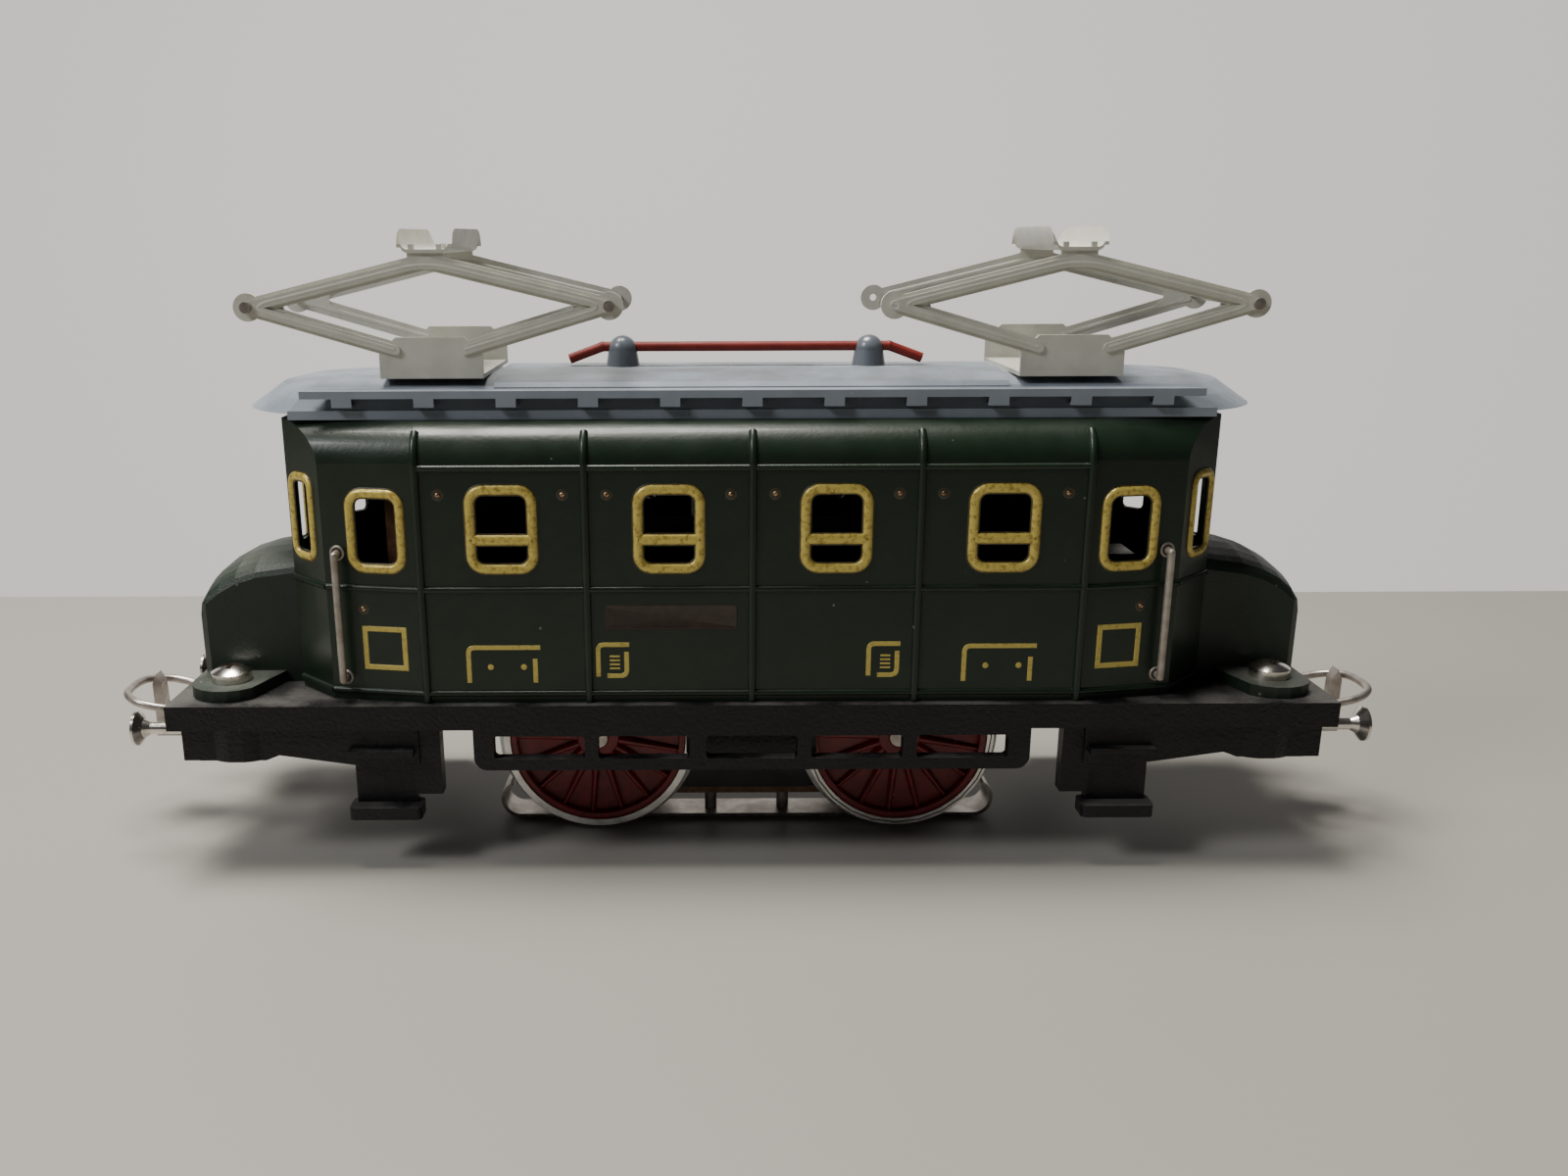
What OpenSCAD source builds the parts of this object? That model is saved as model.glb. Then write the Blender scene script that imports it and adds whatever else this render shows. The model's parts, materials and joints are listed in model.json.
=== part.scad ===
// Two-axle model electric locomotive, tinplate body on a die-cast frame, 16.5 mm gauge.
// X runs along the length, Y across it, Z up. The origin is under the middle, at rail level.

/* [Frame] */
// Length of the footplate
frame_l = 174; // [170:1:180]
// Width of the footplate
frame_w = 46; // [45:0.5:50]
// Height of the footplate's top above the rail
deck_z = 26.2; // [26:0.1:27]
// Thickness of the footplate
deck_t = 3.8; // [3:0.1:4]
// Height of the buffers above the rail
buffer_z = 20; // [19.5:0.1:20.2]
// Distance from the middle to each buffer
buffer_y = 15; // [15:0.1:17]

/* [Wheels and gears] */
// Distance between the axles
wheelbase = 48; // [47.6:0.1:48.4]
// Radius of the tread
tread_r = 15; // [14.8:0.1:15.2]
// Height of the flange
flange_h = 1; // [0.8:0.1:1]
// Distance between the backs of the wheels
back_to_back = 14; // [14:0.1:14.4]
// Width of a tyre
tyre_w = 2.8; // [2.6:0.1:3]
// Number of spokes in a wheel
spokes = 17; // [12:1:18]
// Diameter of the axles
axle_d = 3; // [2.5:0.1:3]
// Module of the gear teeth
gear_mod = 0.5; // [0.5]
// Teeth on each axle gear
axle_teeth = 50; // [50]
// Teeth on the idler gear
idler_teeth = 51; // [51]
// Teeth on the motor pinion
pinion_teeth = 12; // [12]

/* [Body] */
// Half width of the body between the outer ribs
side_y = 21.3; // [21:0.1:21.5]
// Distance between the ribs
rib_pitch = 24.1; // [23.8:0.1:24.4]
// Height where the side starts to curve in
shoulder_z = 61.5; // [61:0.1:62]
// Radius of the curve under the roof
shoulder_r = 6; // [5.5:0.1:6]
// Thickness of the sheet
sheet = 0.6; // [0.5:0.1:0.8]
// Radius of the pressed ribs
rib_r = 0.6; // [0.4:0.05:0.7]
// Width of a side window's opening
window_w = 7.5; // [7:0.1:8]
// Height of a side window's opening
window_h = 10.1; // [9.6:0.1:10.4]
// Height of the windows' middle
window_z = 52.3; // [52:0.1:52.6]

/* [Roof and hoods] */
// Height of the roof's highest line
crown_z = 73.1; // [73:0.1:73.4]
// Number of brackets under each roof walk
brackets = 11; // [5:2:11]
// Half width of a hood
hood_y = 10.9; // [10.5:0.1:11]
// Height of a hood at the cab
hood_z = 47; // [46:0.1:47.4]

/* [Pantographs] */
// Distance from the middle to each pantograph
panto_x = 46.5; // [46:0.1:47]
// Distance from a pantograph's middle to its knees
knee_x = 26; // [25:0.1:26.5]
// Height of the knees
knee_z = 83.3; // [83:0.1:84]
// Height of the pantograph's top corner
apex_z = 89.6; // [89.4:0.1:90]
// Half the distance between the two side frames
panto_y = 12.6; // [12:0.1:12.8]

/* [Couplings] */
// Distance from the middle to each coupling's pivot
pivot_x = 76; // [75:0.5:77]
// Distance from the middle to each loop's hinge
hinge_x = 90; // [90:0.1:91]
// Half width of a coupling loop
loop_y = 7.4; // [6.5:0.1:7.5]

/* [Hidden] */
$fn = 64;
fit = 0.05;
deck_bottom = deck_z - deck_t;
axle_z = tread_r + flange_h;
axle_x = wheelbase / 2;
wheel_in = back_to_back / 2;
wheel_out = wheel_in + tyre_w;
gear_pitch = gear_mod * (axle_teeth + idler_teeth) / 2;
idler_z = axle_z + sqrt(gear_pitch * gear_pitch - axle_x * axle_x);
motor_z = idler_z + gear_mod * (idler_teeth + pinion_teeth) / 2;
gear_y = 4.3;
gear_w = 2;
block_near = -6.4;
block_far = 3.8;
plate_t = 1.2;
bay_x = 41.3;
bay_y = 12.2;
block_screw_x = 43.7;
BLOCK_SCREW_Y = [-4.3, 1.7];
corner_x = 62.7;
corner_y = 18.8;
end_x = 69.1;
end_y = corner_y - (end_x - corner_x);
rib_x = 2 * rib_pitch;
cab_x = rib_x + 0.35;
taper = atan((side_y - corner_y) / (corner_x - cab_x));
eave_z = shoulder_z + shoulder_r;
gutter_x = 67.2;
gutter_y = 15.6;
roof_tip = 76.4;
walk_z = 71.7;
walk_y = 16.7;
door_x = 54.5;
rail_x = 60.6;
hood_x = 85;
ear_t = 1.8;
screw_x = 79.2;
strip_w = 2.3;
tab_x = 2;
screw_y = 15.3;
beam_x = 85.4;
beam_z = 17.2;
loop_d = 1.3;
arm_z = 14.2;
hinge_z = 18.8;
armature_r = 8;
shaft_d = 2;
shoe_x = 37.5;
green = [0.10, 0.17, 0.12];
slate = [0.42, 0.47, 0.53];
pale = [0.72, 0.72, 0.68];
black = [0.07, 0.07, 0.08];
red = [0.55, 0.07, 0.08];
steel = [0.72, 0.71, 0.68];
brass = [0.78, 0.62, 0.30];
copper = [0.72, 0.40, 0.22];
SIDES = [-1, 1];

// ---- helpers ----

// A block given by its lowest and highest corners.
module span(x1, x2, y1, y2, z1, z2) {
    translate([x1, y1, z1]) cube([x2 - x1, y2 - y1, z2 - z1]);
}

// A cylinder along Y from y1 to y2.
module along_y(x, z, y1, y2, r) {
    translate([x, y2, z]) rotate([90, 0, 0]) cylinder(h = y2 - y1, r = r);
}

// A cylinder along X from x1 to x2.
module along_x(y, z, x1, x2, r) {
    translate([x1, y, z]) rotate([0, 90, 0]) cylinder(h = x2 - x1, r = r);
}

// A rectangle with round corners, centred.
module round_rect(w, h, r) {
    square([w - 2 * r, h], center = true);
    square([w, h - 2 * r], center = true);
    for (x = SIDES, y = SIDES) translate([x * (w / 2 - r), y * (h / 2 - r)]) circle(r = r);
}

// A pan-head screw with a cross recess, its head's underside at the origin.
module pan_screw(head_d, head_h, thread_d, thread_l) {
    difference() {
        union() {
            cylinder(h = head_h * 0.55, r = head_d / 2);
            intersection() {
                translate([0, 0, head_h * 0.55]) cylinder(h = head_h * 0.45, r = head_d / 2);
                translate([0, 0, head_h - head_d * 0.8]) sphere(r = head_d * 0.8);
            }
            translate([0, 0, -thread_l]) cylinder(h = thread_l, r = thread_d / 2);
        }
        for (a = [0, 90]) rotate([0, 0, a])
            translate([0, 0, head_h]) cube([head_d * 0.5, head_d * 0.13, head_h], center = true);
    }
}

// Half the angle that a tooth takes at its root and at its tip.
function tooth_root(n) = 100 / n;
function tooth_tip(n) = 42 / n;

// A spur gear's outline with one tooth centred on the angle phase.
module gear_2d(n, phase) {
    root = gear_mod * (n / 2 - 1.25);
    tip = gear_mod * (n / 2 + 0.8);
    polygon([for (i = [0 : n - 1], k = [[root, -1, 0], [tip, -1, 1], [tip, 1, 1], [root, 1, 0]])
        let (half = k[2] == 1 ? tooth_tip(n) : tooth_root(n), a = phase + i * 360 / n + k[1] * half)
        k[0] * [cos(a), sin(a)]]);
}

// A gear in the X-Z plane with a bore, its near face at y1.
module gear(x, z, n, phase, y1, w, bore) {
    translate([x, y1 + w, z]) rotate([90, 0, 0]) difference() {
        linear_extrude(w) gear_2d(n, phase);
        translate([0, 0, -1]) cylinder(h = w + 2, r = bore / 2);
    }
}

// The angle of a gear's tooth that falls into the idler's gap towards direction a.
// The idler has a tooth at 90 degrees, and n is the number of teeth of the other gear.
function mesh_phase(a, n) =
    let (step = 360 / idler_teeth, off = (a - 90) - round((a - 90) / step) * step)
    a + 180 + off * idler_teeth / n + 180 / n;

// ---- frame ----

// One end of the frame's underside: beam, skirts and coupling boss, for the +X end.
module frame_end() {
    span(83, beam_x, -21.5, 21.5, beam_z, deck_bottom);
    for (s = SIDES) scale([1, s, 1]) {
        translate([0, 21.6, 0]) rotate([90, 0, 0]) linear_extrude(1.6)
            polygon([[83.1, deck_bottom], [83.1, beam_z], [73, beam_z], [71, beam_z + 0.8],
                [59.7, 16.4], [50, 16.4], [50, deck_bottom]]);
        intersection() {
            span(71.4, 83.1, 19.5, 22.4, beam_z, deck_bottom);
            translate([77.2, 15.9, beam_z]) cylinder(h = 6, r = 6.6);
        }
        footstep();
    }
    translate([pivot_x, 0, arm_z + 1.3]) cylinder(h = deck_bottom - arm_z - 1.3, r = 4);
}

// A pair of footsteps with their riser and hanger, on the +X +Y corner.
module footstep() {
    span(51, 60, 18.6, 20.4, 8.4, deck_bottom);
    span(50.6, 60.4, 18.6, 23, 18.1, 19.1);
    translate([55.4, 20.8, 8]) linear_extrude(1.9) round_rect(10.9, 4.4, 0.8);
    span(46.8, 51, 18.6, 21.2, 11.5, deck_bottom);
}

// The side rail with its five slots, on the +Y side.
module side_rail() {
    translate([0, 23, 0]) rotate([90, 0, 0]) linear_extrude(2.1) difference() {
        union() {
            translate([-41.5, 18.2]) square([83, deck_bottom - 18.2]);
            translate([0, 18.4]) round_rect(83, 4.8, 2);
        }
        for (x = [-31.7, -16.1, 15.7, 31.4]) translate([x, 19.6]) round_rect(13.6, 3.6, 0.6);
        translate([0, 19.6]) round_rect(13.6, 3.6, 0.6);
    }
    span(-9, 9, 14, 15.4, 14, deck_bottom);
    for (x = [-9, 9]) span(x - 0.8, x + 0.8, 14, 21.2, 18, deck_bottom);
}

module chassis_frame() {
    color(black) difference() {
        union() {
            difference() {
                span(-frame_l / 2, frame_l / 2, -frame_w / 2, frame_w / 2, deck_bottom, deck_z);
                span(-bay_x, bay_x, -bay_y, bay_y, deck_bottom - 1, deck_z + 1);
            }
            for (s = SIDES) scale([s, 1, 1]) frame_end();
            for (s = SIDES) scale([1, s, 1]) side_rail();
            for (x = SIDES, y = SIDES)
                translate([x * screw_x, y * screw_y, deck_bottom - 3]) cylinder(h = 4, r = 3);
        }
        for (x = SIDES, y = SIDES)
            translate([x * screw_x, y * screw_y, deck_bottom - 4]) cylinder(h = 9, r = 1.5 + fit);
        for (x = SIDES, y = SIDES) along_x(y * buffer_y, buffer_z, x * 84.2 - 2.2, x * 84.2 + 2.2, 0.8 + fit);
        for (x = SIDES) translate([x * pivot_x, 0, arm_z]) cylinder(h = 8, r = 1.25 + fit);
        block_screw_holes();
    }
}

// The outline of one side plate of the motor block.
module block_plate_2d(bore) {
    difference() {
        union() {
            translate([-32, 10.5]) square([64, deck_z + plate_t - 10.5]);
            translate([-10, 6.2]) square([20, 10]);
            translate([-15.5, 20]) square([31, 31]);
        }
        for (x = [-axle_x, axle_x]) translate([x, axle_z]) circle(r = 2.4);
        translate([0, motor_z]) circle(r = bore);
        translate([0, idler_z]) circle(r = 1.2);
        for (x = [-12.4, 12.4]) translate([x, motor_z]) circle(r = 0.9 + fit);
    }
}

// The holes for the screws that hold the motor block on the footplate.
module block_screw_holes() {
    for (x = SIDES, y = BLOCK_SCREW_Y) translate([x * block_screw_x, y, deck_bottom - 1])
        cylinder(h = deck_t + plate_t + 2, r = 1 + fit);
}

module motor_block() {
    color(black) difference() {
        union() {
            translate([0, block_near + plate_t, 0]) rotate([90, 0, 0]) linear_extrude(plate_t)
                block_plate_2d(4.4);
            translate([0, block_far, 0]) rotate([90, 0, 0]) linear_extrude(plate_t) block_plate_2d(1 + fit);
            for (x = [-10, 10]) span(x - 1.2, x + 1.2, block_near + 0.4, block_far - 0.4, 6.2, 12);
            for (x = SIDES) span(x * 31 - 1, x * 31 + 1, block_near + 0.4, block_far - 0.4, 12, 24);
            for (x = SIDES) scale([x, 1, 1])
                span(30, 46, block_near, block_far, deck_z, deck_z + plate_t);
        }
        block_screw_holes();
        for (x = [-9.9, 9.9]) translate([x, -1.3, 5]) cylinder(h = 4, r = 0.8 + fit);
    }
}

// ---- body ----

// The body's solid form, its outside drawn in by inset, with the sides curved in at the top.
module body_form(inset, z1, z2) {
    y0 = side_y - inset;
    r = shoulder_r + 0.1 - inset;
    d = inset * 0.7;
    intersection() {
        span(-cab_x, cab_x, -30, 30, z1, z2);
        rotate([90, 0, 90]) translate([0, 0, -80]) linear_extrude(160) shoulders(y0, r, y0);
    }
    for (x = SIDES) scale([x, 1, 1]) intersection() {
        translate([0, 0, z1]) linear_extrude(z2 - z1) polygon([for (s = SIDES) let (
            c = [[cab_x - 0.3, y0 - 0.06], [cab_x, y0 - 0.02], [corner_x - d * 0.6, corner_y - d], [end_x - inset, end_y - d * 0.6]])
            each [for (i = s > 0 ? [3, 2, 1, 0] : [0, 1, 2, 3]) [c[i][0], s * c[i][1]]]]);
        cab_trim(1, y0, r);
        cab_trim(-1, y0, r);
    }
}

// A cross-section from -reach to y0, with a quarter circle at its top on the side of y0, and on both sides when they match.
module shoulders(y0, r, reach) {
    translate([-reach, 0]) square([reach + y0, shoulder_z]);
    translate([reach == y0 ? r - reach : -reach, 0])
        square([reach == y0 ? 2 * (y0 - r) : reach + y0 - r, shoulder_z + r]);
    for (s = reach == y0 ? SIDES : [1]) translate([s * (y0 - r), shoulder_z]) circle(r = r);
}

// What the body keeps inside the curved top of one tapered cab side.
module cab_trim(y, y0, r) {
    scale([1, y, 1]) translate([cab_x, y0, 0]) rotate([0, 0, -taper]) translate([0, -y0, 0])
        rotate([90, 0, 90]) translate([0, 0, -10]) linear_extrude(50) shoulders(y0, r, 40);
}

// Everything that is cut through the walls for the windows.
module window_cuts() {
    for (x = [-1.5, -0.5, 0.5, 1.5] * rib_pitch, s = SIDES) translate([x, s * side_y, 0])
        rotate([90, 0, 0]) translate([0, 0, -3]) linear_extrude(6) difference() {
            translate([0, window_z]) round_rect(window_w, window_h, 1.4);
            translate([-window_w / 2 - 1, window_z - 2.2]) square([window_w + 2, 1.6]);
        }
    for (x = SIDES, y = SIDES) scale([x, y, 1]) {
        translate([door_x, 20.2, 51.8]) rotate([90, 0, -taper]) translate([0, 0, -3])
            linear_extrude(6) round_rect(6.2, 10, 1.3);
        translate([(corner_x + end_x) / 2, (corner_y + end_y) / 2, 53.3]) rotate([90, 0, -45])
            translate([0.5, 0, -3]) linear_extrude(6) round_rect(4, 10.4, 1);
        translate([end_x, 6.4, 53.3]) rotate([90, 0, 90]) translate([0, 0, -3])
            linear_extrude(6) round_rect(5, 10, 1);
    }
}

// The ribs and beads pressed out of the sides, for the +Y side.
module pressed_ribs() {
    for (i = [-2 : 2]) translate([i * rib_pitch, side_y, 0]) {
        translate([0, 0, deck_z]) cylinder(h = shoulder_z - deck_z, r = rib_r);
        translate([0, -shoulder_r, shoulder_z]) rotate([90, 0, 90]) rotate_extrude(angle = 50)
            translate([shoulder_r, 0]) circle(r = rib_r);
    }
    for (z = [deck_z + 1.4, 43.5, shoulder_z - 0.2])
        along_x(side_y, z, -rib_x, rib_x, rib_r * 0.8);
}

// The beads that run on round one cab corner, for the +X +Y corner.
module cab_beads() {
    for (z = [deck_z + 1.4, 43.5]) {
        bead(cab_x, side_y, corner_x, corner_y, z);
        bead(corner_x, corner_y, end_x, end_y, z);
    }
}

// A level bead between two points of the wall.
module bead(x1, y1, x2, y2, z) {
    translate([x1, y1, z]) rotate([0, 0, atan2(y2 - y1, x2 - x1)])
        along_x(0, 0, -0.15, norm([x2 - x1, y2 - y1]) - 0.1, rib_r * 0.8);
}

module body_shell() {
    color(green) difference() {
        union() {
            body_form(0, deck_z, eave_z);
            for (s = SIDES) scale([1, s, 1]) pressed_ribs();
            for (x = SIDES, y = SIDES) scale([x, y, 1]) cab_beads();
        }
        body_form(sheet, deck_z - 1, eave_z - sheet);
        window_cuts();
        for (x = SIDES, y = SIDES, z = [29.6, 48.6])
            translate([x * rail_x, y * 17, z]) rotate([y * 90, 0, 0]) translate([0, 0, -8])
                cylinder(h = 8, r = 0.6 + fit);
    }
}

// Four wire handrails, each a bar with two ends bent into the cab side.
module handrails() {
    color(steel) for (x = SIDES, y = SIDES) scale([x, y, 1]) {
        for (z = [29.6, 48.6]) translate([rail_x, 18.2, z]) rotate([-90, 0, 0]) cylinder(h = 2.8, r = 0.55);
        translate([rail_x, 21, 29.6]) cylinder(h = 19, r = 0.55);
        for (z = [29.6, 48.6]) translate([rail_x, 21, z]) sphere(r = 0.55);
    }
}

// ---- roof ----

// One level slice of the roof: straight sides with a round nose at each end.
module roof_slice(x, y, tip, z) {
    nose = (y * y + (tip - x) * (tip - x)) / (2 * (tip - x));
    translate([0, 0, z]) linear_extrude(0.02) {
        square([2 * x, 2 * y], center = true);
        for (s = SIDES) intersection() {
            translate([s * (tip - nose), 0]) circle(r = nose, $fn = 48);
            translate([s * (x + 20), 0]) square([40, 2 * y], center = true);
        }
    }
}

// The roof's domed form, its outside drawn in by inset.
module roof_form(inset) {
    hull() {
        roof_slice(gutter_x - inset, gutter_y - inset, roof_tip - inset, eave_z + 0.9);
        roof_slice(gutter_x - 1.5 - inset, 14.2 - inset, roof_tip - 3 - inset, 70.4 - inset);
        roof_slice(gutter_x - 3.5 - inset, 12.6 - inset, roof_tip - 5 - inset, 71.9 - inset);
        roof_slice(gutter_x - 7 - inset, 9.5 - inset, roof_tip - 8.5 - inset, 72.7 - inset);
        roof_slice(gutter_x - 17, 4.5, roof_tip - 20, crown_z - 0.02 - inset);
    }
}

module roof() {
    color(slate) difference() {
        union() {
            roof_form(0);
            intersection() {
                translate([0, 0, 0.6]) roof_form(0);
                span(-37.5, 37.5, -13.3, 13.3, 70, 80);
            }
            translate([0, 0, eave_z]) linear_extrude(1.3) difference() {
                polygon([for (s = [[1, 1], [-1, 1], [-1, -1], [1, -1]]) [s[0] * gutter_x, s[1] * gutter_y]]);
                square([2 * gutter_x - 8, 2 * gutter_y - 2], center = true);
            }
        }
        difference() {
            translate([0, 0, -0.02]) roof_form(sheet);
            span(-80, 80, -30, 30, 60, eave_z);
        }
        for (x = [-panto_x, panto_x], y = [-5, 5]) translate([x, y, 70]) cylinder(h = 5, r = 1 + fit);
        for (x = [-19.4, 18.5]) translate([x, 0, 70]) cylinder(h = 5, r = 1.2 + fit);
    }
}

// A roof walk: a plank with a turned-down edge on brackets, for the +Y side.
module roof_walk() {
    translate([0, 0, walk_z - 0.5]) linear_extrude(0.5)
        polygon([[-61, 13.4], [61, 13.4], [65, walk_y], [-65, walk_y]]);
    span(-65, 65, walk_y - 0.5, walk_y, walk_z - 1.1, walk_z);
    for (i = [0 : brackets - 1]) let (x = (i - (brackets - 1) / 2) * 118 / (brackets - 1)) {
        span(x - 1.45, x + 1.45, walk_y - 0.5, walk_y, 69.6, walk_z - 0.6);
        span(x - 1.45, x + 1.45, 14.95, walk_y, 69.35, 69.75);
    }
}

module roof_walk_front() {
    color(slate) scale([1, -1, 1]) roof_walk();
}

module roof_walk_rear() {
    color(slate) roof_walk();
}

// Two domed insulators, each on a stud through the roof.
module insulators() {
    color(slate) for (x = [-19.4, 18.5]) translate([x, 0, crown_z + 0.6]) {
        difference() {
            union() {
                cylinder(h = 2.4, r1 = 2.6, r2 = 2.2);
                translate([0, 0, 2.4]) intersection() {
                    sphere(r = 2.2);
                    cylinder(h = 3, r = 3);
                }
            }
            along_x(0, 2.9, -4, 4, 0.75 + fit);
        }
        translate([0, 0, -3]) cylinder(h = 3.2, r = 1.2);
    }
}

// The red bar that joins the pantographs, bent down at both ends.
module roof_conductor() {
    z = crown_z + 3.5;
    color(red) {
        along_x(0, z, -22.5, 21.6, 0.75);
        translate([-22.5, 0, z]) rotate([0, -110, 0]) cylinder(h = 5.4, r = 0.75);
        translate([21.6, 0, z]) rotate([0, 110, 0]) cylinder(h = 5.4, r = 0.75);
        for (x = [-22.5, 21.6]) translate([x, 0, z]) sphere(r = 0.8);
    }
}

// ---- hoods ----

// The side view of a hood, drawn in by inset and lowered by drop.
module hood_side(inset, drop) {
    polygon([[end_x + fit, deck_z], [end_x + fit, hood_z - drop - inset], [75.8, hood_z - 0.9 - drop - inset],
        [79, hood_z - 1.9 - drop - inset], [81.6, hood_z - 3.3 - drop - inset],
        [83.6 - inset, hood_z - 4.9 - drop - inset], [84.7 - inset, hood_z - 6.6 - drop - inset],
        [hood_x - inset, hood_z - 8.4 - drop - inset], [hood_x - inset, deck_z]]);
}

// A hood's domed form.
module hood_form(inset) {
    hull() for (k = [[0, 0], [3, 0.12], [6, 0.55], [8.4, 1.2], [9.8, 1.8], [hood_y - 0.35, 2.5], [hood_y, 3.3]],
        s = SIDES)
        translate([0, s * (k[0] - (k[0] > 0 ? inset : 0)) + 0.01, 0]) rotate([90, 0, 0])
            linear_extrude(0.02) intersection() {
                hood_side(inset, k[1]);
                translate([0, 0]) square([k[0] > hood_y - 0.5 ? hood_x - 1.2 : hood_x, 100]);
            }
}

// A hood with its two screw ears, for the +X end.
module hood() {
    difference() {
        union() {
            hood_form(0);
            for (s = SIDES) scale([1, s, 1]) translate([0, 0, deck_z]) linear_extrude(ear_t)
                polygon(concat([[72, hood_y - 0.5]], [for (a = [140 : -20 : 20]) [79.2 + 5.6 * cos(a), 15.9 + 5.4 * sin(a)]],
                    [[84.4, 14.5], [84.2, hood_y - 0.5]]));
        }
        translate([0, 0, -0.02]) hood_form(1.2);
        for (s = SIDES) translate([screw_x, s * screw_y, deck_z - 1]) cylinder(h = 4, r = 1.5 + 0.15);
    }
}

module hood_left() {
    color(green) scale([-1, 1, 1]) hood();
}

module hood_right() {
    color(green) hood();
}

module hood_screws() {
    color(steel) for (x = SIDES, y = SIDES) translate([x * screw_x, y * screw_y, deck_z + ear_t])
        pan_screw(6, 2.4, 3, 8);
}

// ---- pantographs ----

// Half of one side frame's outline, from the foot to the apex, drawn as a strip.
module panto_strip(w) {
    pts = [[5, 77.2], [knee_x, knee_z], [0, apex_z]];
    for (s = SIDES, i = [0, 1]) {
        a = pts[i];
        b = pts[i + 1];
        d = b - a;
        translate([s * a[0], a[1]]) rotate([0, 0, s > 0 ? atan2(d[1], d[0]) : atan2(d[1], -d[0])])
            translate([0, -w / 2]) square([norm(d), w]);
    }
    for (p = pts, s = SIDES) translate([s * p[0], p[1]]) circle(r = w / 2);
}

// One stamped side frame: foot plate, diamond, knee eyes and pressed bead.
module panto_side() {
    rotate([90, 0, 0]) difference() {
        union() {
            linear_extrude(0.6, center = true) {
                panto_strip(strip_w);
                for (s = SIDES) translate([s * knee_x, knee_z]) circle(r = 2);
                polygon([[-7.5, crown_z], [7.5, crown_z], [7.5, 76.6], [5, 79], [-5, 79], [-7.5, 76.6]]);
                translate([-2.6, apex_z - 1]) square([5.2, strip_w / 2 + 1]);
                for (s = SIDES) translate([s * tab_x - 0.4, apex_z]) square([0.8, strip_w / 2 + 1.2]);
            }
            linear_extrude(0.7) panto_strip(1.3);
        }
        for (s = SIDES) translate([s * knee_x, knee_z, -1]) cylinder(h = 3, r = 0.5 + fit);
    }
}

module pantograph() {
    for (s = SIDES) translate([0, s * panto_y, 0]) scale([1, -s, 1]) panto_side();
    difference() {
        span(-7.5, 7.5, -panto_y, panto_y, crown_z, crown_z + 0.6);
        for (y = [-5, 5]) translate([0, y, crown_z - 1]) cylinder(h = 3, r = 1 + fit);
    }
}

module pantograph_left() {
    color(pale) translate([-panto_x, 0, 0]) pantograph();
}

module pantograph_right() {
    color(pale) translate([panto_x, 0, 0]) pantograph();
}

// A collector: a shallow channel across the top with raised, rounded walls.
module collector() {
    z = apex_z + strip_w / 2;
    difference() {
        span(-3.2, 3.2, -15, 15, z, z + 0.6);
        for (x = SIDES, y = SIDES)
            span(x * tab_x - 0.45, x * tab_x + 0.45, y * panto_y - 0.5, y * panto_y + 0.5, z - 1, z + 2);
    }
    for (s = SIDES) translate([s * 3.2, 0, 0]) rotate([90, 0, 90]) linear_extrude(0.6, center = true)
        polygon([[-14.4, z], [14.4, z], [15, z + 1], [14.4, z + 2.6], [12.6, z + 3.4], [-12.6, z + 3.4],
            [-14.4, z + 2.6], [-15, z + 1]]);
}

module collector_left() {
    color(pale) translate([-panto_x, 0, 0]) collector();
}

module collector_right() {
    color(pale) translate([panto_x, 0, 0]) collector();
}

// The wires that join the two side frames at the knees.
module knee_pins(x, sides) {
    for (s = sides) {
        along_y(x + s * knee_x, knee_z, -panto_y - 0.9, panto_y + 0.9, 0.5);
        for (y = SIDES) along_y(x + s * knee_x, knee_z, y * (panto_y + 1) - 0.3, y * (panto_y + 1) + 0.3, 0.8);
    }
}

module knee_pins_left() {
    color(steel) knee_pins(-panto_x, SIDES);
}

module knee_pins_right() {
    color(steel) knee_pins(panto_x, [1]);
}

module pantograph_screws() {
    color(steel) for (x = [-panto_x, panto_x], y = [-5, 5]) translate([x, y, crown_z + 0.6])
        pan_screw(4, 1.5, 2, 3.5);
}

// ---- ends ----

// Four turned buffers with a thin dished head.
module buffers() {
    color(steel) for (x = SIDES, y = SIDES) scale([x, y, 1]) translate([83, buffer_y, buffer_z])
        rotate([0, 90, 0]) rotate_extrude()
            polygon([[0, 0], [0.8, 0], [0.8, 2.42], [1.3, 2.42], [1.3, 4], [0.95, 4.2], [0.95, 9.6], [1.5, 10.6],
                [2.7, 11.5], [2.7, 11.9], [1.8, 12.15], [0, 12.2]]);
}

// A coupling: flat arm on its pivot, hook at the end and ears for the loop, for the +X end.
module coupling() {
    difference() {
        union() {
            span(pivot_x, 97, -3, 3, arm_z, arm_z + 1);
            translate([pivot_x, 0, arm_z]) cylinder(h = 1, r = 3.6);
            for (y = SIDES) {
                span(hinge_x - 1.3, hinge_x + 1.3, y * 2.6 - 0.4, y * 2.6 + 0.4, arm_z, hinge_z);
                along_y(hinge_x, hinge_z, y * 2.6 - 0.4, y * 2.6 + 0.4, 1.3);
            }
            rotate([90, 0, 0]) linear_extrude(2.4, center = true)
                polygon([[94.5, arm_z], [97, arm_z], [97.6, 15.4], [97.6, 22.6], [96.9, 24.2], [96.1, 22.6], [95.9, 16.4],
                    [94.5, 15.6]]);
        }
        translate([pivot_x, 0, arm_z - 1]) cylinder(h = 4, r = 1.25 + fit);
        along_y(hinge_x, hinge_z, -4, 4, 0.5 + fit);
    }
}

module coupling_left() {
    color(steel) scale([-1, 1, 1]) coupling();
}

module coupling_right() {
    color(steel) coupling();
}

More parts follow.
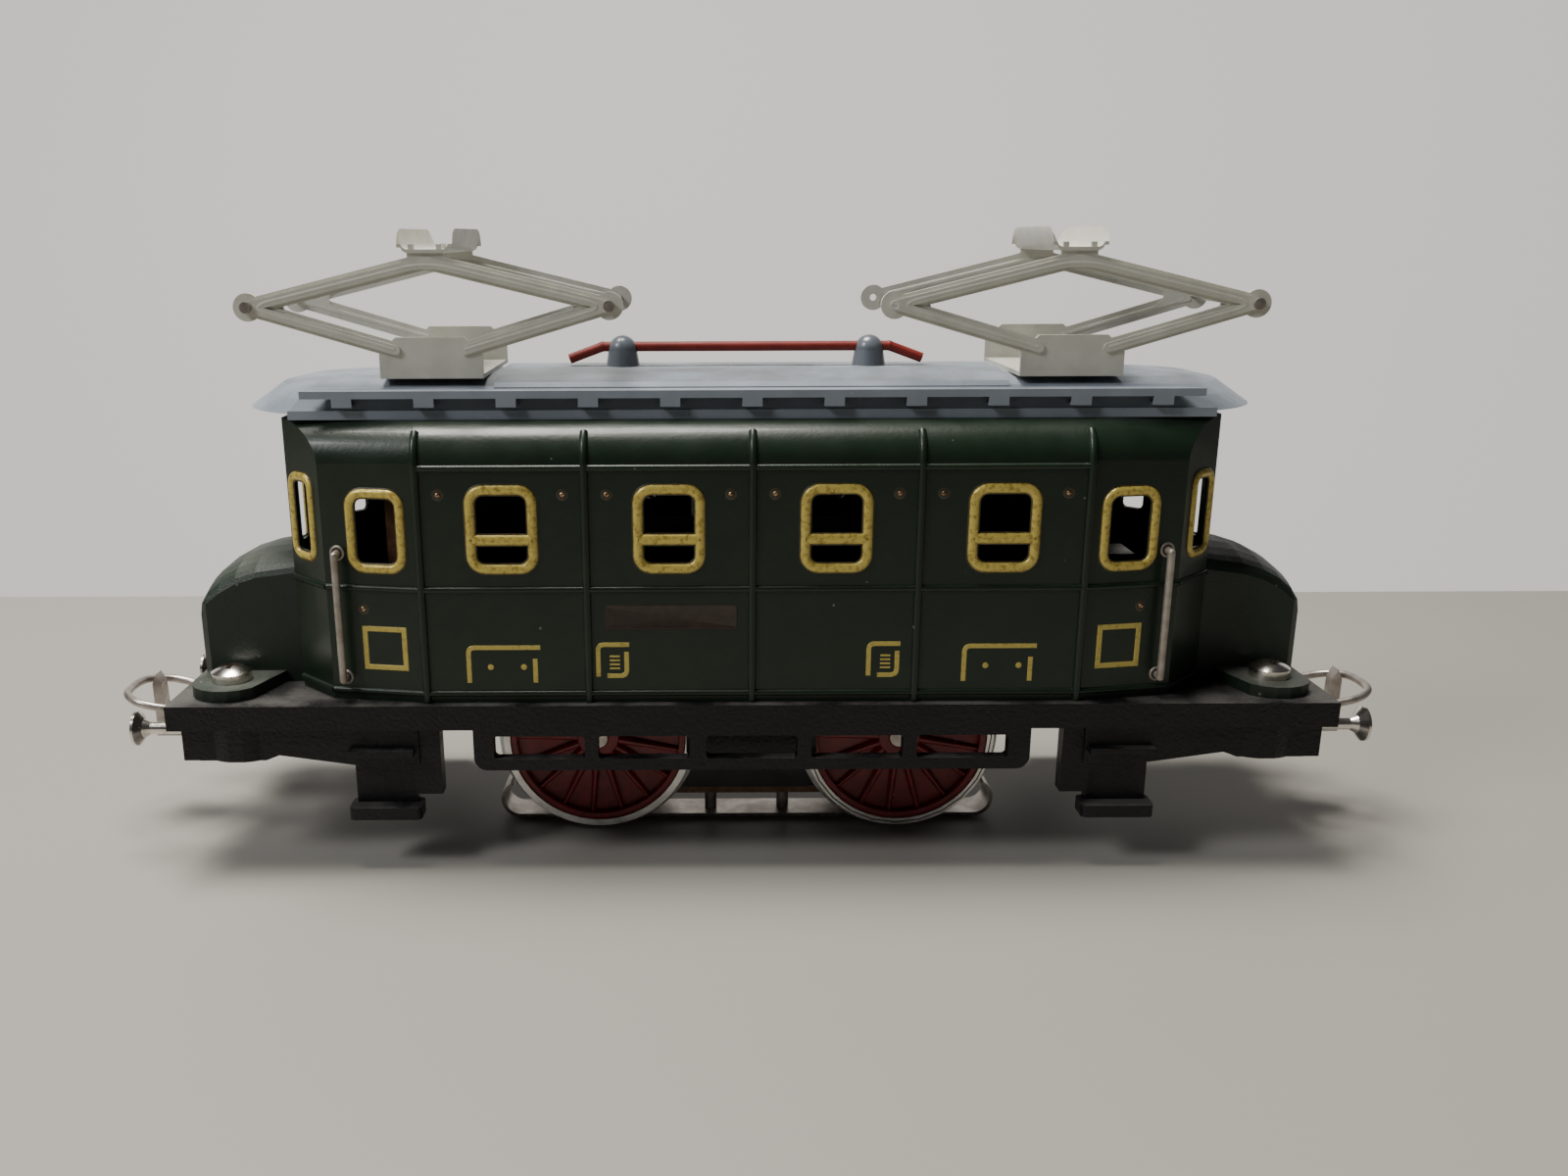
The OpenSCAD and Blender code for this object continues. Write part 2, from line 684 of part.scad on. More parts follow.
// A coupling loop: a bent wire ring, tilted a little upwards from its hinge, for the +X end.
module coupling_loop() {
    translate([hinge_x, 0, hinge_z]) rotate([0, -12, 0]) difference() {
        union() {
            translate([0, 0, 0.6]) linear_extrude(loop_d, center = true) difference() {
                loop_plate(0);
                loop_plate(loop_d);
            }
            for (y = SIDES) along_y(0, 0, y * 4.2 - 0.6, y * 4.2 + 0.6, 1.25);
        }
        along_y(0, 0, -6, 6, 0.5 + fit);
    }
}

// The loop's outline, drawn in by inset.
module loop_plate(inset) {
    polygon([for (p = [[0, 4.8, 0, -1], [4, loop_y, 0, -1], [8.6, loop_y, -0.5, -1], [11.4, 5, -1, -0.6], [12.4, 2.5, -1, 0],
        [12.4, -2.5, -1, 0], [11.4, -5, -1, 0.6], [8.6, -loop_y, -0.5, 1], [4, -loop_y, 0, 1], [0, -4.8, 0, 1]])
        [p[0] + inset * p[2], p[1] + inset * p[3]]]);
}

module coupling_loop_left() {
    color(steel) scale([-1, 1, 1]) coupling_loop();
}

module coupling_loop_right() {
    color(steel) coupling_loop();
}

// The pin that a coupling loop hinges on.
module loop_pin(x) {
    along_y(x, hinge_z, -5.9, 5.9, 0.5);
    for (y = SIDES) along_y(x, hinge_z, y * 6.05 - 0.3, y * 6.05 + 0.3, 0.9);
}

module loop_pin_left() {
    color(steel) loop_pin(-hinge_x);
}

module loop_pin_right() {
    color(steel) loop_pin(hinge_x);
}

// The shouldered screws that the couplings swivel on, put in from below.
module coupling_screws() {
    color(steel) for (x = SIDES) translate([x * pivot_x, 0, arm_z - 0.2]) rotate([180, 0, 0])
        pan_screw(4.6, 1.6, 2.5, 7);
}

// ---- wheels ----

// A spoked wheel centre on the +Y side, bored for its axle.
module wheel(x) {
    translate([x, wheel_out - 0.15, axle_z]) rotate([90, 0, 0]) difference() {
        union() {
            difference() {
                cylinder(h = tyre_w - 0.3, r = 14);
                translate([0, 0, -1]) cylinder(h = 5, r = 12.9);
            }
            translate([0, 0, -0.15]) cylinder(h = tyre_w, r = 3.3);
            translate([0, 0, 1.2]) cylinder(h = 0.8, r = 13.4);
            translate([0, 0, 0.4]) linear_extrude(1.2) for (i = [0 : spokes - 1])
                rotate([0, 0, (i + 0.5) * 360 / spokes]) translate([2, -0.5]) square([11.4, 1]);
        }
        translate([0, 0, -1]) cylinder(h = 6, r = axle_d / 2);
    }
}

// A steel tyre with its flange on the +Y side.
module tyre(x) {
    translate([x, 0, axle_z]) rotate([-90, 0, 0]) rotate_extrude($fn = 96)
        polygon([[14, wheel_in], [tread_r + flange_h - 0.2, wheel_in], [tread_r + flange_h, wheel_in + 0.25],
            [tread_r + flange_h, wheel_in + 0.55], [tread_r + 0.1, wheel_in + 0.95], [tread_r, wheel_out], [14, wheel_out]]);
}

module axle(x) {
    along_y(x, axle_z, -wheel_out - 0.2, wheel_out + 0.2, axle_d / 2);
}

module wheel_left_near() {
    color(red) scale([1, -1, 1]) wheel(-axle_x);
}

module wheel_left_far() {
    color(red) wheel(-axle_x);
}

module wheel_right_near() {
    color(red) scale([1, -1, 1]) wheel(axle_x);
}

module wheel_right_far() {
    color(red) wheel(axle_x);
}

module tyre_left_near() {
    color(steel) scale([1, -1, 1]) tyre(-axle_x);
}

module tyre_left_far() {
    color(steel) tyre(-axle_x);
}

module tyre_right_near() {
    color(steel) scale([1, -1, 1]) tyre(axle_x);
}

module tyre_right_far() {
    color(steel) tyre(axle_x);
}

module axle_left() {
    color(steel) axle(-axle_x);
}

module axle_right() {
    color(steel) axle(axle_x);
}

// Four bronze bushes pressed into the motor block.
module axle_bushes() {
    color(brass) for (x = [-axle_x, axle_x], y = [block_near, block_far - plate_t]) difference() {
        along_y(x, axle_z, y, y + plate_t, 2.4);
        along_y(x, axle_z, y - 1, y + plate_t + 1, axle_d / 2 + 0.04);
    }
}

// ---- gears ----

module axle_gear_left() {
    a = atan2(axle_z - idler_z, -axle_x);
    color(brass) gear(-axle_x, axle_z, axle_teeth, mesh_phase(a, axle_teeth), gear_y, gear_w, axle_d);
}

module axle_gear_right() {
    a = atan2(axle_z - idler_z, axle_x);
    color(brass) gear(axle_x, axle_z, axle_teeth, mesh_phase(a, axle_teeth), gear_y, gear_w, axle_d);
}

module idler_gear() {
    color(brass) gear(0, idler_z, idler_teeth, 90, gear_y, gear_w, 2.4 + 2 * fit);
}

module idler_stud() {
    color(steel) {
        along_y(0, idler_z, block_near + 0.2, gear_y + gear_w + 0.1, 1.2);
        along_y(0, idler_z, gear_y + gear_w + 0.1, gear_y + gear_w + 0.6, 1.8);
    }
}

module motor_pinion() {
    color(brass) gear(0, motor_z, pinion_teeth, mesh_phase(90, pinion_teeth), gear_y - 0.1, gear_w + 0.6, shaft_d);
}

// ---- motor ----

module armature_shaft() {
    color(steel) along_y(0, motor_z, -12, gear_y + gear_w + 0.8, shaft_d / 2);
}

// Three slotted poles on the shaft.
module armature_core() {
    color(copper) translate([0, 1.7, motor_z]) rotate([90, 0, 0]) linear_extrude(6) difference() {
        circle(r = armature_r - 0.4);
        circle(r = shaft_d / 2);
        for (a = [30, 150, 270]) rotate([0, 0, a]) {
            translate([5.2, 0]) circle(r = 1.9);
            translate([5.2, -0.6]) square([4, 1.2]);
        }
    }
}

module commutator() {
    color(copper) translate([0, -6.9, motor_z]) rotate([90, 0, 0]) difference() {
        cylinder(h = 2.4, r = 3.6);
        translate([0, 0, -1]) cylinder(h = 5, r = shaft_d / 2);
        for (a = [90, 210, 330]) rotate([0, 0, a]) translate([2.2, -0.2, -1]) cube([3, 0.4, 5]);
    }
}

// The stack of plates that carries the field round the armature.
module field_magnet() {
    color([0.45, 0.45, 0.47]) translate([0, block_far - plate_t, 0]) rotate([90, 0, 0])
        linear_extrude(block_far - block_near - 2 * plate_t) difference() {
        union() {
            translate([0, motor_z]) circle(r = 14);
            translate([-9, motor_z]) square([18, 22]);
        }
        translate([0, motor_z]) circle(r = armature_r);
        translate([-6.4, motor_z + 11.2]) square([2.6, 7.4]);
        translate([3.8, motor_z + 11.2]) square([2.6, 7.4]);
        translate([0, motor_z - 16]) square([9, 24], center = true);
        for (x = [-12.4, 12.4]) translate([x, motor_z]) circle(r = 0.9 + fit);
    }
}

// The field winding round the middle limb of the stack.
module field_coil() {
    z = motor_z + 14.9;
    color(copper) difference() {
        span(-6.3, 6.3, block_near - 1.2, block_far + 1.2, z - 3.4, z + 3.4);
        span(-3.8, 3.8, block_near + plate_t, block_far - plate_t, z - 5, z + 5);
    }
}

// The insulating plate that holds the brushes.
module brush_plate() {
    color([0.35, 0.2, 0.12]) difference() {
        union() {
            translate([0, -9.8, motor_z]) rotate([90, 0, 0]) linear_extrude(1.4) round_rect(29, 11, 3);
            for (x = [-12.4, 12.4]) along_y(x, motor_z, -9.9, block_near, 1.9);
        }
        along_y(0, motor_z, -12, -9, shaft_d / 2 + 0.04);
        for (x = [-12.4, 12.4]) along_y(x, motor_z, -12, -6, 0.9 + fit);
    }
}

// Two carbon brushes in brass holders, one on each side of the commutator.
module brushes() {
    color(brass) for (s = SIDES) scale([s, 1, 1]) {
        span(3.7, 9.2, -9.2, -7.2, motor_z - 1, motor_z + 1);
        span(5, 10, -9.8, -6.9, motor_z - 1.5, motor_z + 1.5);
    }
}

module motor_screws() {
    color(steel) for (x = [-12.4, 12.4]) translate([x, -11.2, motor_z]) rotate([90, 0, 0])
        pan_screw(3.2, 1.2, 1.8, 14.4);
    color(steel) for (x = SIDES, y = BLOCK_SCREW_Y) translate([x * block_screw_x, y, deck_z + plate_t])
        pan_screw(3.6, 1.3, 2, 4.6);
}

// ---- reversing relay ----

// The relay's iron frame, an L on the footplate.
module relay_frame() {
    color([0.6, 0.6, 0.62]) difference() {
        union() {
            span(47, 63, -5, 5, deck_z, deck_z + 1.4);
            span(47, 48.4, -5, 5, deck_z, deck_z + 17);
            for (y = SIDES) span(47, 50.4, y * 4.5 - 0.5, y * 4.5 + 0.5, deck_z + 15, deck_z + 19.4);
        }
        along_y(49.2, deck_z + 18.2, -6, 6, 0.5 + fit);
    }
}

module relay_coil() {
    color(copper) translate([55.5, 0, deck_z + 1.4]) difference() {
        union() {
            cylinder(h = 0.8, r = 5.4);
            cylinder(h = 13, r = 4.7);
            translate([0, 0, 12.2]) cylinder(h = 0.8, r = 5.4);
        }
        translate([0, 0, -1]) cylinder(h = 20, r = 2.2);
    }
}

module relay_core() {
    color([0.6, 0.6, 0.62]) translate([55.5, 0, deck_z + 1.4]) cylinder(h = 14, r = 2.2);
}

// The relay's clapper, hinged on the frame's top and held a little open.
module relay_armature() {
    color([0.6, 0.6, 0.62]) {
        span(48.9, 61, -3.6, 3.6, deck_z + 17.2, deck_z + 18.2);
        along_y(49.2, deck_z + 18.2, -4.9, 4.9, 0.5);
        along_y(49.2, deck_z + 18.2, -3.6, 3.6, 1);
    }
}

// The insulating board along the far side of the motor that the wires are tied to.
module wiring_board() {
    color([0.2, 0.12, 0.08]) translate([0, 14.2, deck_z]) rotate([90, 0, 0]) linear_extrude(0.8) difference() {
        union() {
            translate([0, 15.5]) round_rect(122, 27, 2);
            for (x = [-50, 50]) translate([x - 4, 0]) square([8, 10]);
        }
        for (x = [-32 : 16 : 32]) translate([x, 25]) circle(r = 0.9);
    }
    color([0.2, 0.12, 0.08]) for (x = [-50, 50]) difference() {
        span(x - 4, x + 4, 13.4, 17.6, deck_z, deck_z + 0.8);
        translate([x, 16, deck_z - 1]) cylinder(h = 3, r = 0.8);
    }
}

// ---- pickup ----

module pickup_plate() {
    color([0.35, 0.2, 0.12]) difference() {
        union() {
            span(-12, 12, block_near + 0.4, block_far, 5, 6.2);
            span(-12, 12, -3.6, 1, 4.6, 5.2);
        }
        for (x = [-6, 6]) translate([x, -1.3, 3]) cylinder(h = 5, r = 1 + 0.1);
        for (x = [-9.9, 9.9]) translate([x, -1.3, 3]) cylinder(h = 5, r = 0.8 + fit);
    }
}

// The sprung strip that rubs on the middle conductor, turned up at both ends.
module pickup_shoe() {
    color(steel) {
        span(-shoe_x, shoe_x, -4.3, 1.7, 0, 0.6);
        for (s = SIDES) scale([s, 1, 1]) translate([shoe_x, -1.3, 3.2]) rotate([90, 0, 0])
            linear_extrude(6, center = true) difference() {
                circle(r = 3.2);
                circle(r = 2.6);
                translate([-8, -4]) square([8, 8]);
                rotate([0, 0, 60]) translate([-4, 0]) square([8, 8]);
            }
        for (x = [-6, 6]) translate([x, -1.3, 0.4]) cylinder(h = 8.2, r = 1);
    }
}

// The bent leaf that presses the shoe down.
module pickup_spring() {
    color(steel) for (s = SIDES) scale([s, 1, 1]) difference() {
        translate([0, 0.2, 0]) rotate([90, 0, 0]) linear_extrude(3)
            polygon([[7.9, 4.3], [12, 4.3], [22, 0.75], [26, 0.6], [26, 0.9], [22.1, 1.05], [12.2, 4.6], [7.9, 4.6]]);
        translate([9.9, -1.3, 3]) cylinder(h = 3, r = 0.8 + fit);
    }
}

module pickup_screws() {
    color(steel) for (x = [-9.9, 9.9]) translate([x, -1.3, 4.3]) rotate([180, 0, 0]) pan_screw(3, 1, 1.6, 3.4);
}

chassis_frame();
motor_block();
body_shell();
roof();
roof_walk_front();
roof_walk_rear();
hood_left();
hood_right();
hood_screws();
handrails();
insulators();
roof_conductor();
pantograph_left();
pantograph_right();
collector_left();
collector_right();
knee_pins_left();
knee_pins_right();
pantograph_screws();
buffers();
coupling_left();
coupling_right();
coupling_loop_left();
coupling_loop_right();
loop_pin_left();
loop_pin_right();
coupling_screws();
wheel_left_near();
wheel_left_far();
wheel_right_near();
wheel_right_far();
tyre_left_near();
tyre_left_far();
tyre_right_near();
tyre_right_far();
axle_left();
axle_right();
axle_bushes();
axle_gear_left();
axle_gear_right();
idler_gear();
idler_stud();
armature_shaft();
armature_core();
commutator();
motor_pinion();
field_magnet();
field_coil();
brush_plate();
brushes();
motor_screws();
relay_frame();
relay_coil();
relay_core();
relay_armature();
wiring_board();
pickup_plate();
pickup_shoe();
pickup_spring();
pickup_screws();
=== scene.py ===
"""Two-axle model electric locomotive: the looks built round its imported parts."""
import json
import math

import bmesh
import bpy
from bpy.props import FloatProperty, FloatVectorProperty, IntProperty, PointerProperty
from mathutils import Matrix, Vector


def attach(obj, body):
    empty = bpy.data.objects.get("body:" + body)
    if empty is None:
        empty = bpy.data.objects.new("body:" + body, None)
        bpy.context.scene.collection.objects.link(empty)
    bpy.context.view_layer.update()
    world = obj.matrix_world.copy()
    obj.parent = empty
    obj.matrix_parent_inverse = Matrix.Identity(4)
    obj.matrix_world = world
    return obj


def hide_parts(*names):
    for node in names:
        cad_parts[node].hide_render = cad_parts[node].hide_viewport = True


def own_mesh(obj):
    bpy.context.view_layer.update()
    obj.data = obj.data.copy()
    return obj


bl_info = {
    "name": "Model electric locomotive",
    "version": (1, 0, 0),
    "blender": (4, 5, 0),
    "location": "3D View > Sidebar > Locomotive",
    "description": "Builds the finishes and the pressed, printed and bent details of a model locomotive",
    "category": "Object",
}

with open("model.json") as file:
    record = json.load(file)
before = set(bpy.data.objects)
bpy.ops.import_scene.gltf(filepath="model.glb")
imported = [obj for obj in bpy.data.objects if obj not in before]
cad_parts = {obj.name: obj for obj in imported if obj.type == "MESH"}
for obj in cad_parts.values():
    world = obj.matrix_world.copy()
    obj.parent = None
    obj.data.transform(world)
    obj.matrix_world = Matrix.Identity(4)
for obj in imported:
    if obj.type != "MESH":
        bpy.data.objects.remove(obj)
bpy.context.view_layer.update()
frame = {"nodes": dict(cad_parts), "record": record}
NODES = frame["nodes"]
MM = 0.001
ROOT = "locomotive"
SIDES = (-1, 1)
NEAR, FAR = -1, 1


# ---- places on the body, in metres ----

SIDE_Y = 21.3 * MM
RIB_END = Vector((48.55, 21.3)) * MM
CORNER = Vector((62.7, 18.8)) * MM
END = Vector((69.1, 12.4)) * MM
WINDOW_X = (-36.15, -12.05, 12.05, 36.15)
DECK_Z = 26.2 * MM
RAIL_X = 60.6
SCREW_TOP = 29.26


def wall(kind, end, side):
    """A flat part of the body's outside, as (a point on it, its level direction, its outward normal)."""
    if kind == "side":
        a, b = Vector((-RIB_END.x, RIB_END.y)), RIB_END.copy()
    elif kind == "cab":
        a, b = RIB_END.copy(), CORNER.copy()
    elif kind == "angle":
        a, b = CORNER.copy(), END.copy()
    else:
        a, b = END.copy(), Vector((END.x, -END.y))
    a, b = Vector((a.x * end, a.y * side)), Vector((b.x * end, b.y * side))
    along = (b - a).normalized()
    out = Vector((along.y, -along.x))
    if out.dot((a + b) / 2) < 0:
        out.negate()
    along = Vector((-out.y, out.x))
    return Vector((a.x, a.y, 0)), Vector((along.x, along.y, 0)), Vector((out.x, out.y, 0))


def on_wall(where, x, z):
    """The point of a wall at that place along X (or along Y on an end wall) and height, in millimetres."""
    origin, along, _ = where
    if abs(along.x) > 0.3:
        t = (x * MM - origin.x) / along.x
    else:
        t = (x * MM - origin.y) / along.y
    p = origin + along * t
    p.z = z * MM
    return p


def turn_of(where):
    """The turn about X, Y and Z that lays a flat shape, drawn facing +Z, on a wall."""
    out = where[2]
    return (math.pi / 2, 0.0, math.atan2(out.x, -out.y))


# ---- meshes ----

def new_object(name, mesh, body=ROOT, slot=None, replaces=()):
    """Links a finished mesh as a piece that rides on a body."""
    obj = bpy.data.objects.new(name, mesh)
    bpy.context.scene.collection.objects.link(obj)
    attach(obj, body)
    if replaces:
        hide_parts(*replaces)
    return obj


def mesh_of(name, bm, material, smooth=35):
    """Turns a bmesh into a mesh with outward normals and sharp edges past an angle."""
    bmesh.ops.remove_doubles(bm, verts=bm.verts, dist=1e-7)
    bmesh.ops.recalc_face_normals(bm, faces=bm.faces)
    mesh = bpy.data.meshes.new(name)
    bm.to_mesh(mesh)
    bm.free()
    mesh.materials.append(material)
    mesh.shade_smooth()
    mesh.set_sharp_from_angle(angle=math.radians(smooth))
    return mesh


def seeds(name, places):
    """A mesh of loose points, each with the turn that its copy of a shape takes."""
    mesh = bpy.data.meshes.new(name)
    mesh.from_pydata([p for p, _ in places], [], [])
    attribute = mesh.attributes.new("turn", "FLOAT_VECTOR", "POINT")
    for i, (_, turn) in enumerate(places):
        attribute.data[i].vector = turn
    return mesh


def round_path(points, radius, steps=5, closed=False):
    """Points of a flat path with its corners rounded."""
    result = []
    count = len(points)
    for i, p in enumerate(points):
        p = Vector(p)
        if not closed and i in (0, count - 1):
            result.append(p)
            continue
        a, b = Vector(points[i - 1]), Vector(points[(i + 1) % count])
        u, v = (a - p).normalized(), (b - p).normalized()
        r = min(radius, (a - p).length / 2.01, (b - p).length / 2.01)
        for k in range(steps + 1):
            t = k / steps
            result.append((p + u * r) * (1 - t) ** 2 + p * 2 * t * (1 - t) + (p + v * r) * t * t)
    return result


def ribbon(bm, where, path, width, height, closed=False):
    """Adds a painted line to a wall: a low strip with mitred corners that follows a flat path, in millimetres."""
    count = len(path)
    rows = []
    _, along, out = where
    for i, p in enumerate(path):
        back = (p - path[i - 1]).normalized() if closed or i > 0 else None
        ahead = (path[(i + 1) % count] - p).normalized() if closed or i < count - 1 else None
        back = back or ahead
        ahead = ahead or back
        normal = Vector((-(back + ahead).y, (back + ahead).x)).normalized()
        stretch = 1 / max(0.5, normal.dot(Vector((-back.y, back.x))))
        row = []
        for side, lift in ((-1, -0.02), (-0.8, height), (0.8, height), (1, -0.02)):
            q = p + normal * (side * width / 2 * stretch)
            flat = on_wall(where, q.x, q.y)
            row.append(bm.verts.new(flat + out * (lift * MM)))
        rows.append(row)
    last = count if closed else count - 1
    for i in range(last):
        a, b = rows[i], rows[(i + 1) % count]
        for k in range(4):
            bm.faces.new((a[k], a[(k + 1) % 4], b[(k + 1) % 4], b[k]))
    if not closed:
        bm.faces.new(rows[0])
        bm.faces.new(rows[-1])


def tube(bm, path, radius, sides=12, flat=1.0, closed=False, up=Vector((0, 0, 1))):
    """Adds a round or flattened wire along a path."""
    count = len(path)
    rows = []
    for i, p in enumerate(path):
        a = path[i - 1] if closed or i > 0 else p
        b = path[(i + 1) % count] if closed or i < count - 1 else p
        ahead = (b - a).normalized()
        side = ahead.cross(up).normalized()
        top = side.cross(ahead).normalized()
        rows.append([bm.verts.new(p + side * (math.cos(t) * radius) + top * (math.sin(t) * radius * flat))
                     for t in (k * math.tau / sides for k in range(sides))])
    last = count if closed else count - 1
    for i in range(last):
        a, b = rows[i], rows[(i + 1) % count]
        for k in range(sides):
            bm.faces.new((a[k], a[(k + 1) % sides], b[(k + 1) % sides], b[k]))
    if not closed:
        bm.faces.new(rows[0])
        bm.faces.new(rows[-1])


# ---- node trees ----

def add(group, kind, sockets=None, **settings):
    """Adds a node, with its settings, and its sockets given as values or as other nodes' outputs."""
    node = group.nodes.new(kind)
    for key, value in settings.items():
        setattr(node, key, value)
    for key, value in (sockets or {}).items():
        if isinstance(value, bpy.types.NodeSocket):
            group.links.new(value, node.inputs[key])
        else:
            node.inputs[key].default_value = value
    return node


def shape_tree(name, values, draw):
    """A geometry tree that puts a shape on every seed point. draw(group, inputs) returns the shape's socket."""
    group = bpy.data.node_groups.new(name, "GeometryNodeTree")
    face = group.interface
    face.new_socket("Geometry", in_out="INPUT", socket_type="NodeSocketGeometry")
    face.new_socket("Geometry", in_out="OUTPUT", socket_type="NodeSocketGeometry")
    for key, value in values.items():
        kind = "NodeSocketInt" if isinstance(value, int) else "NodeSocketFloat"
        face.new_socket(key, in_out="INPUT", socket_type=kind).default_value = value
    face.new_socket("Material", in_out="INPUT", socket_type="NodeSocketMaterial")
    start = group.nodes.new("NodeGroupInput").outputs
    shape = draw(group, start)
    turn = add(group, "GeometryNodeInputNamedAttribute", {"Name": "turn"}, data_type="FLOAT_VECTOR")
    rotation = add(group, "FunctionNodeEulerToRotation", {"Euler": turn.outputs["Attribute"]})
    copies = add(group, "GeometryNodeInstanceOnPoints", {
        "Points": start["Geometry"], "Instance": shape, "Rotation": rotation.outputs["Rotation"]})
    real = add(group, "GeometryNodeRealizeInstances", {"Geometry": copies.outputs["Instances"]})
    done = add(group, "GeometryNodeSetMaterial", {
        "Geometry": real.outputs["Geometry"], "Material": start["Material"]})
    end = group.nodes.new("NodeGroupOutput")
    group.links.new(done.outputs["Geometry"], end.inputs["Geometry"])
    return group


def grow(name, tree, places, material, values=None, smooth=35, **riding):
    """Runs a geometry tree on seed points and keeps the result as a plain mesh piece."""
    obj = bpy.data.objects.new(name, seeds(name, places))
    bpy.context.scene.collection.objects.link(obj)
    modifier = obj.modifiers.new(name, "NODES")
    modifier.node_group = tree
    given = dict(values or {}, Material=material)
    for item in tree.interface.items_tree:
        if item.in_out == "INPUT" and item.name in given:
            modifier[item.identifier] = given[item.name]
    depsgraph = bpy.context.evaluated_depsgraph_get()
    mesh = bpy.data.meshes.new_from_object(obj.evaluated_get(depsgraph))
    bpy.data.objects.remove(obj)
    mesh.name = name
    if not mesh.polygons:
        raise RuntimeError(f"{name} came out empty")
    mesh.shade_smooth()
    mesh.set_sharp_from_angle(angle=math.radians(smooth))
    return new_object(name, mesh, **riding)


def sweep(group, curve, across, height):
    """A curve in the XY plane swept with an oval profile, half of it above the plane."""
    level = add(group, "GeometryNodeSetCurveNormal", {"Curve": curve}, mode="Z_UP")
    circle = add(group, "GeometryNodeCurvePrimitiveCircle", {"Resolution": 14, "Radius": 1.0}, mode="RADIUS")
    size = add(group, "ShaderNodeCombineXYZ", {"X": across, "Y": height, "Z": 1.0})
    profile = add(group, "GeometryNodeTransform", {
        "Geometry": circle.outputs["Curve"], "Scale": size.outputs["Vector"]})
    return add(group, "GeometryNodeCurveToMesh", {
        "Curve": level.outputs["Curve"], "Profile Curve": profile.outputs["Geometry"], "Fill Caps": True}).outputs["Mesh"]


def draw_window_frame(group, start):
    """A pressed window frame with rounded corners, and a bar across it where it has a width."""
    outline = add(group, "GeometryNodeCurvePrimitiveQuadrilateral", {
        "Width": start["Width"], "Height": start["Height"]}, mode="RECTANGLE")
    rounded = add(group, "GeometryNodeFilletCurve", {
        "Curve": outline.outputs["Curve"], "Count": 7, "Radius": start["Corner"], "Limit Radius": True}, mode="POLY")
    half = add(group, "ShaderNodeMath", {0: start["Band"], 1: 0.5}, operation="MULTIPLY").outputs[0]
    ring = sweep(group, rounded.outputs["Curve"], half, start["Dome"])
    reach = add(group, "ShaderNodeMath", {0: start["Width"], 1: 0.5}, operation="MULTIPLY").outputs[0]
    back = add(group, "ShaderNodeMath", {0: reach, 1: -1.0}, operation="MULTIPLY").outputs[0]
    left = add(group, "ShaderNodeCombineXYZ", {"X": back, "Y": start["Bar place"]}).outputs["Vector"]
    right = add(group, "ShaderNodeCombineXYZ", {"X": reach, "Y": start["Bar place"]}).outputs["Vector"]
    line = add(group, "GeometryNodeCurvePrimitiveLine", {"Start": left, "End": right})
    bar = sweep(group, line.outputs["Curve"], start["Bar"], start["Dome"])
    wanted = add(group, "FunctionNodeCompare", {0: start["Bar"], 1: 1e-5}, operation="GREATER_THAN")
    chosen = add(group, "GeometryNodeSwitch", {"Switch": wanted.outputs["Result"], "True": bar}, input_type="GEOMETRY")
    both = add(group, "GeometryNodeJoinGeometry")
    group.links.new(ring, both.inputs["Geometry"])
    group.links.new(chosen.outputs["Output"], both.inputs["Geometry"])
    return both.outputs["Geometry"]


def draw_rivet(group, start):
    """A low domed rivet head."""
    ball = add(group, "GeometryNodeMeshUVSphere", {"Segments": 16, "Rings": 8, "Radius": 1.0})
    size = add(group, "ShaderNodeCombineXYZ", {"X": start["Radius"], "Y": start["Radius"], "Z": start["Height"]})
    return add(group, "GeometryNodeTransform", {
        "Geometry": ball.outputs["Mesh"], "Scale": size.outputs["Vector"]}).outputs["Geometry"]


def draw_ring(group, start):
    """A round ring of wire."""
    circle = add(group, "GeometryNodeCurvePrimitiveCircle", {"Resolution": 24, "Radius": start["Radius"]}, mode="RADIUS")
    return sweep(group, circle.outputs["Curve"], start["Wire"], start["Height"])


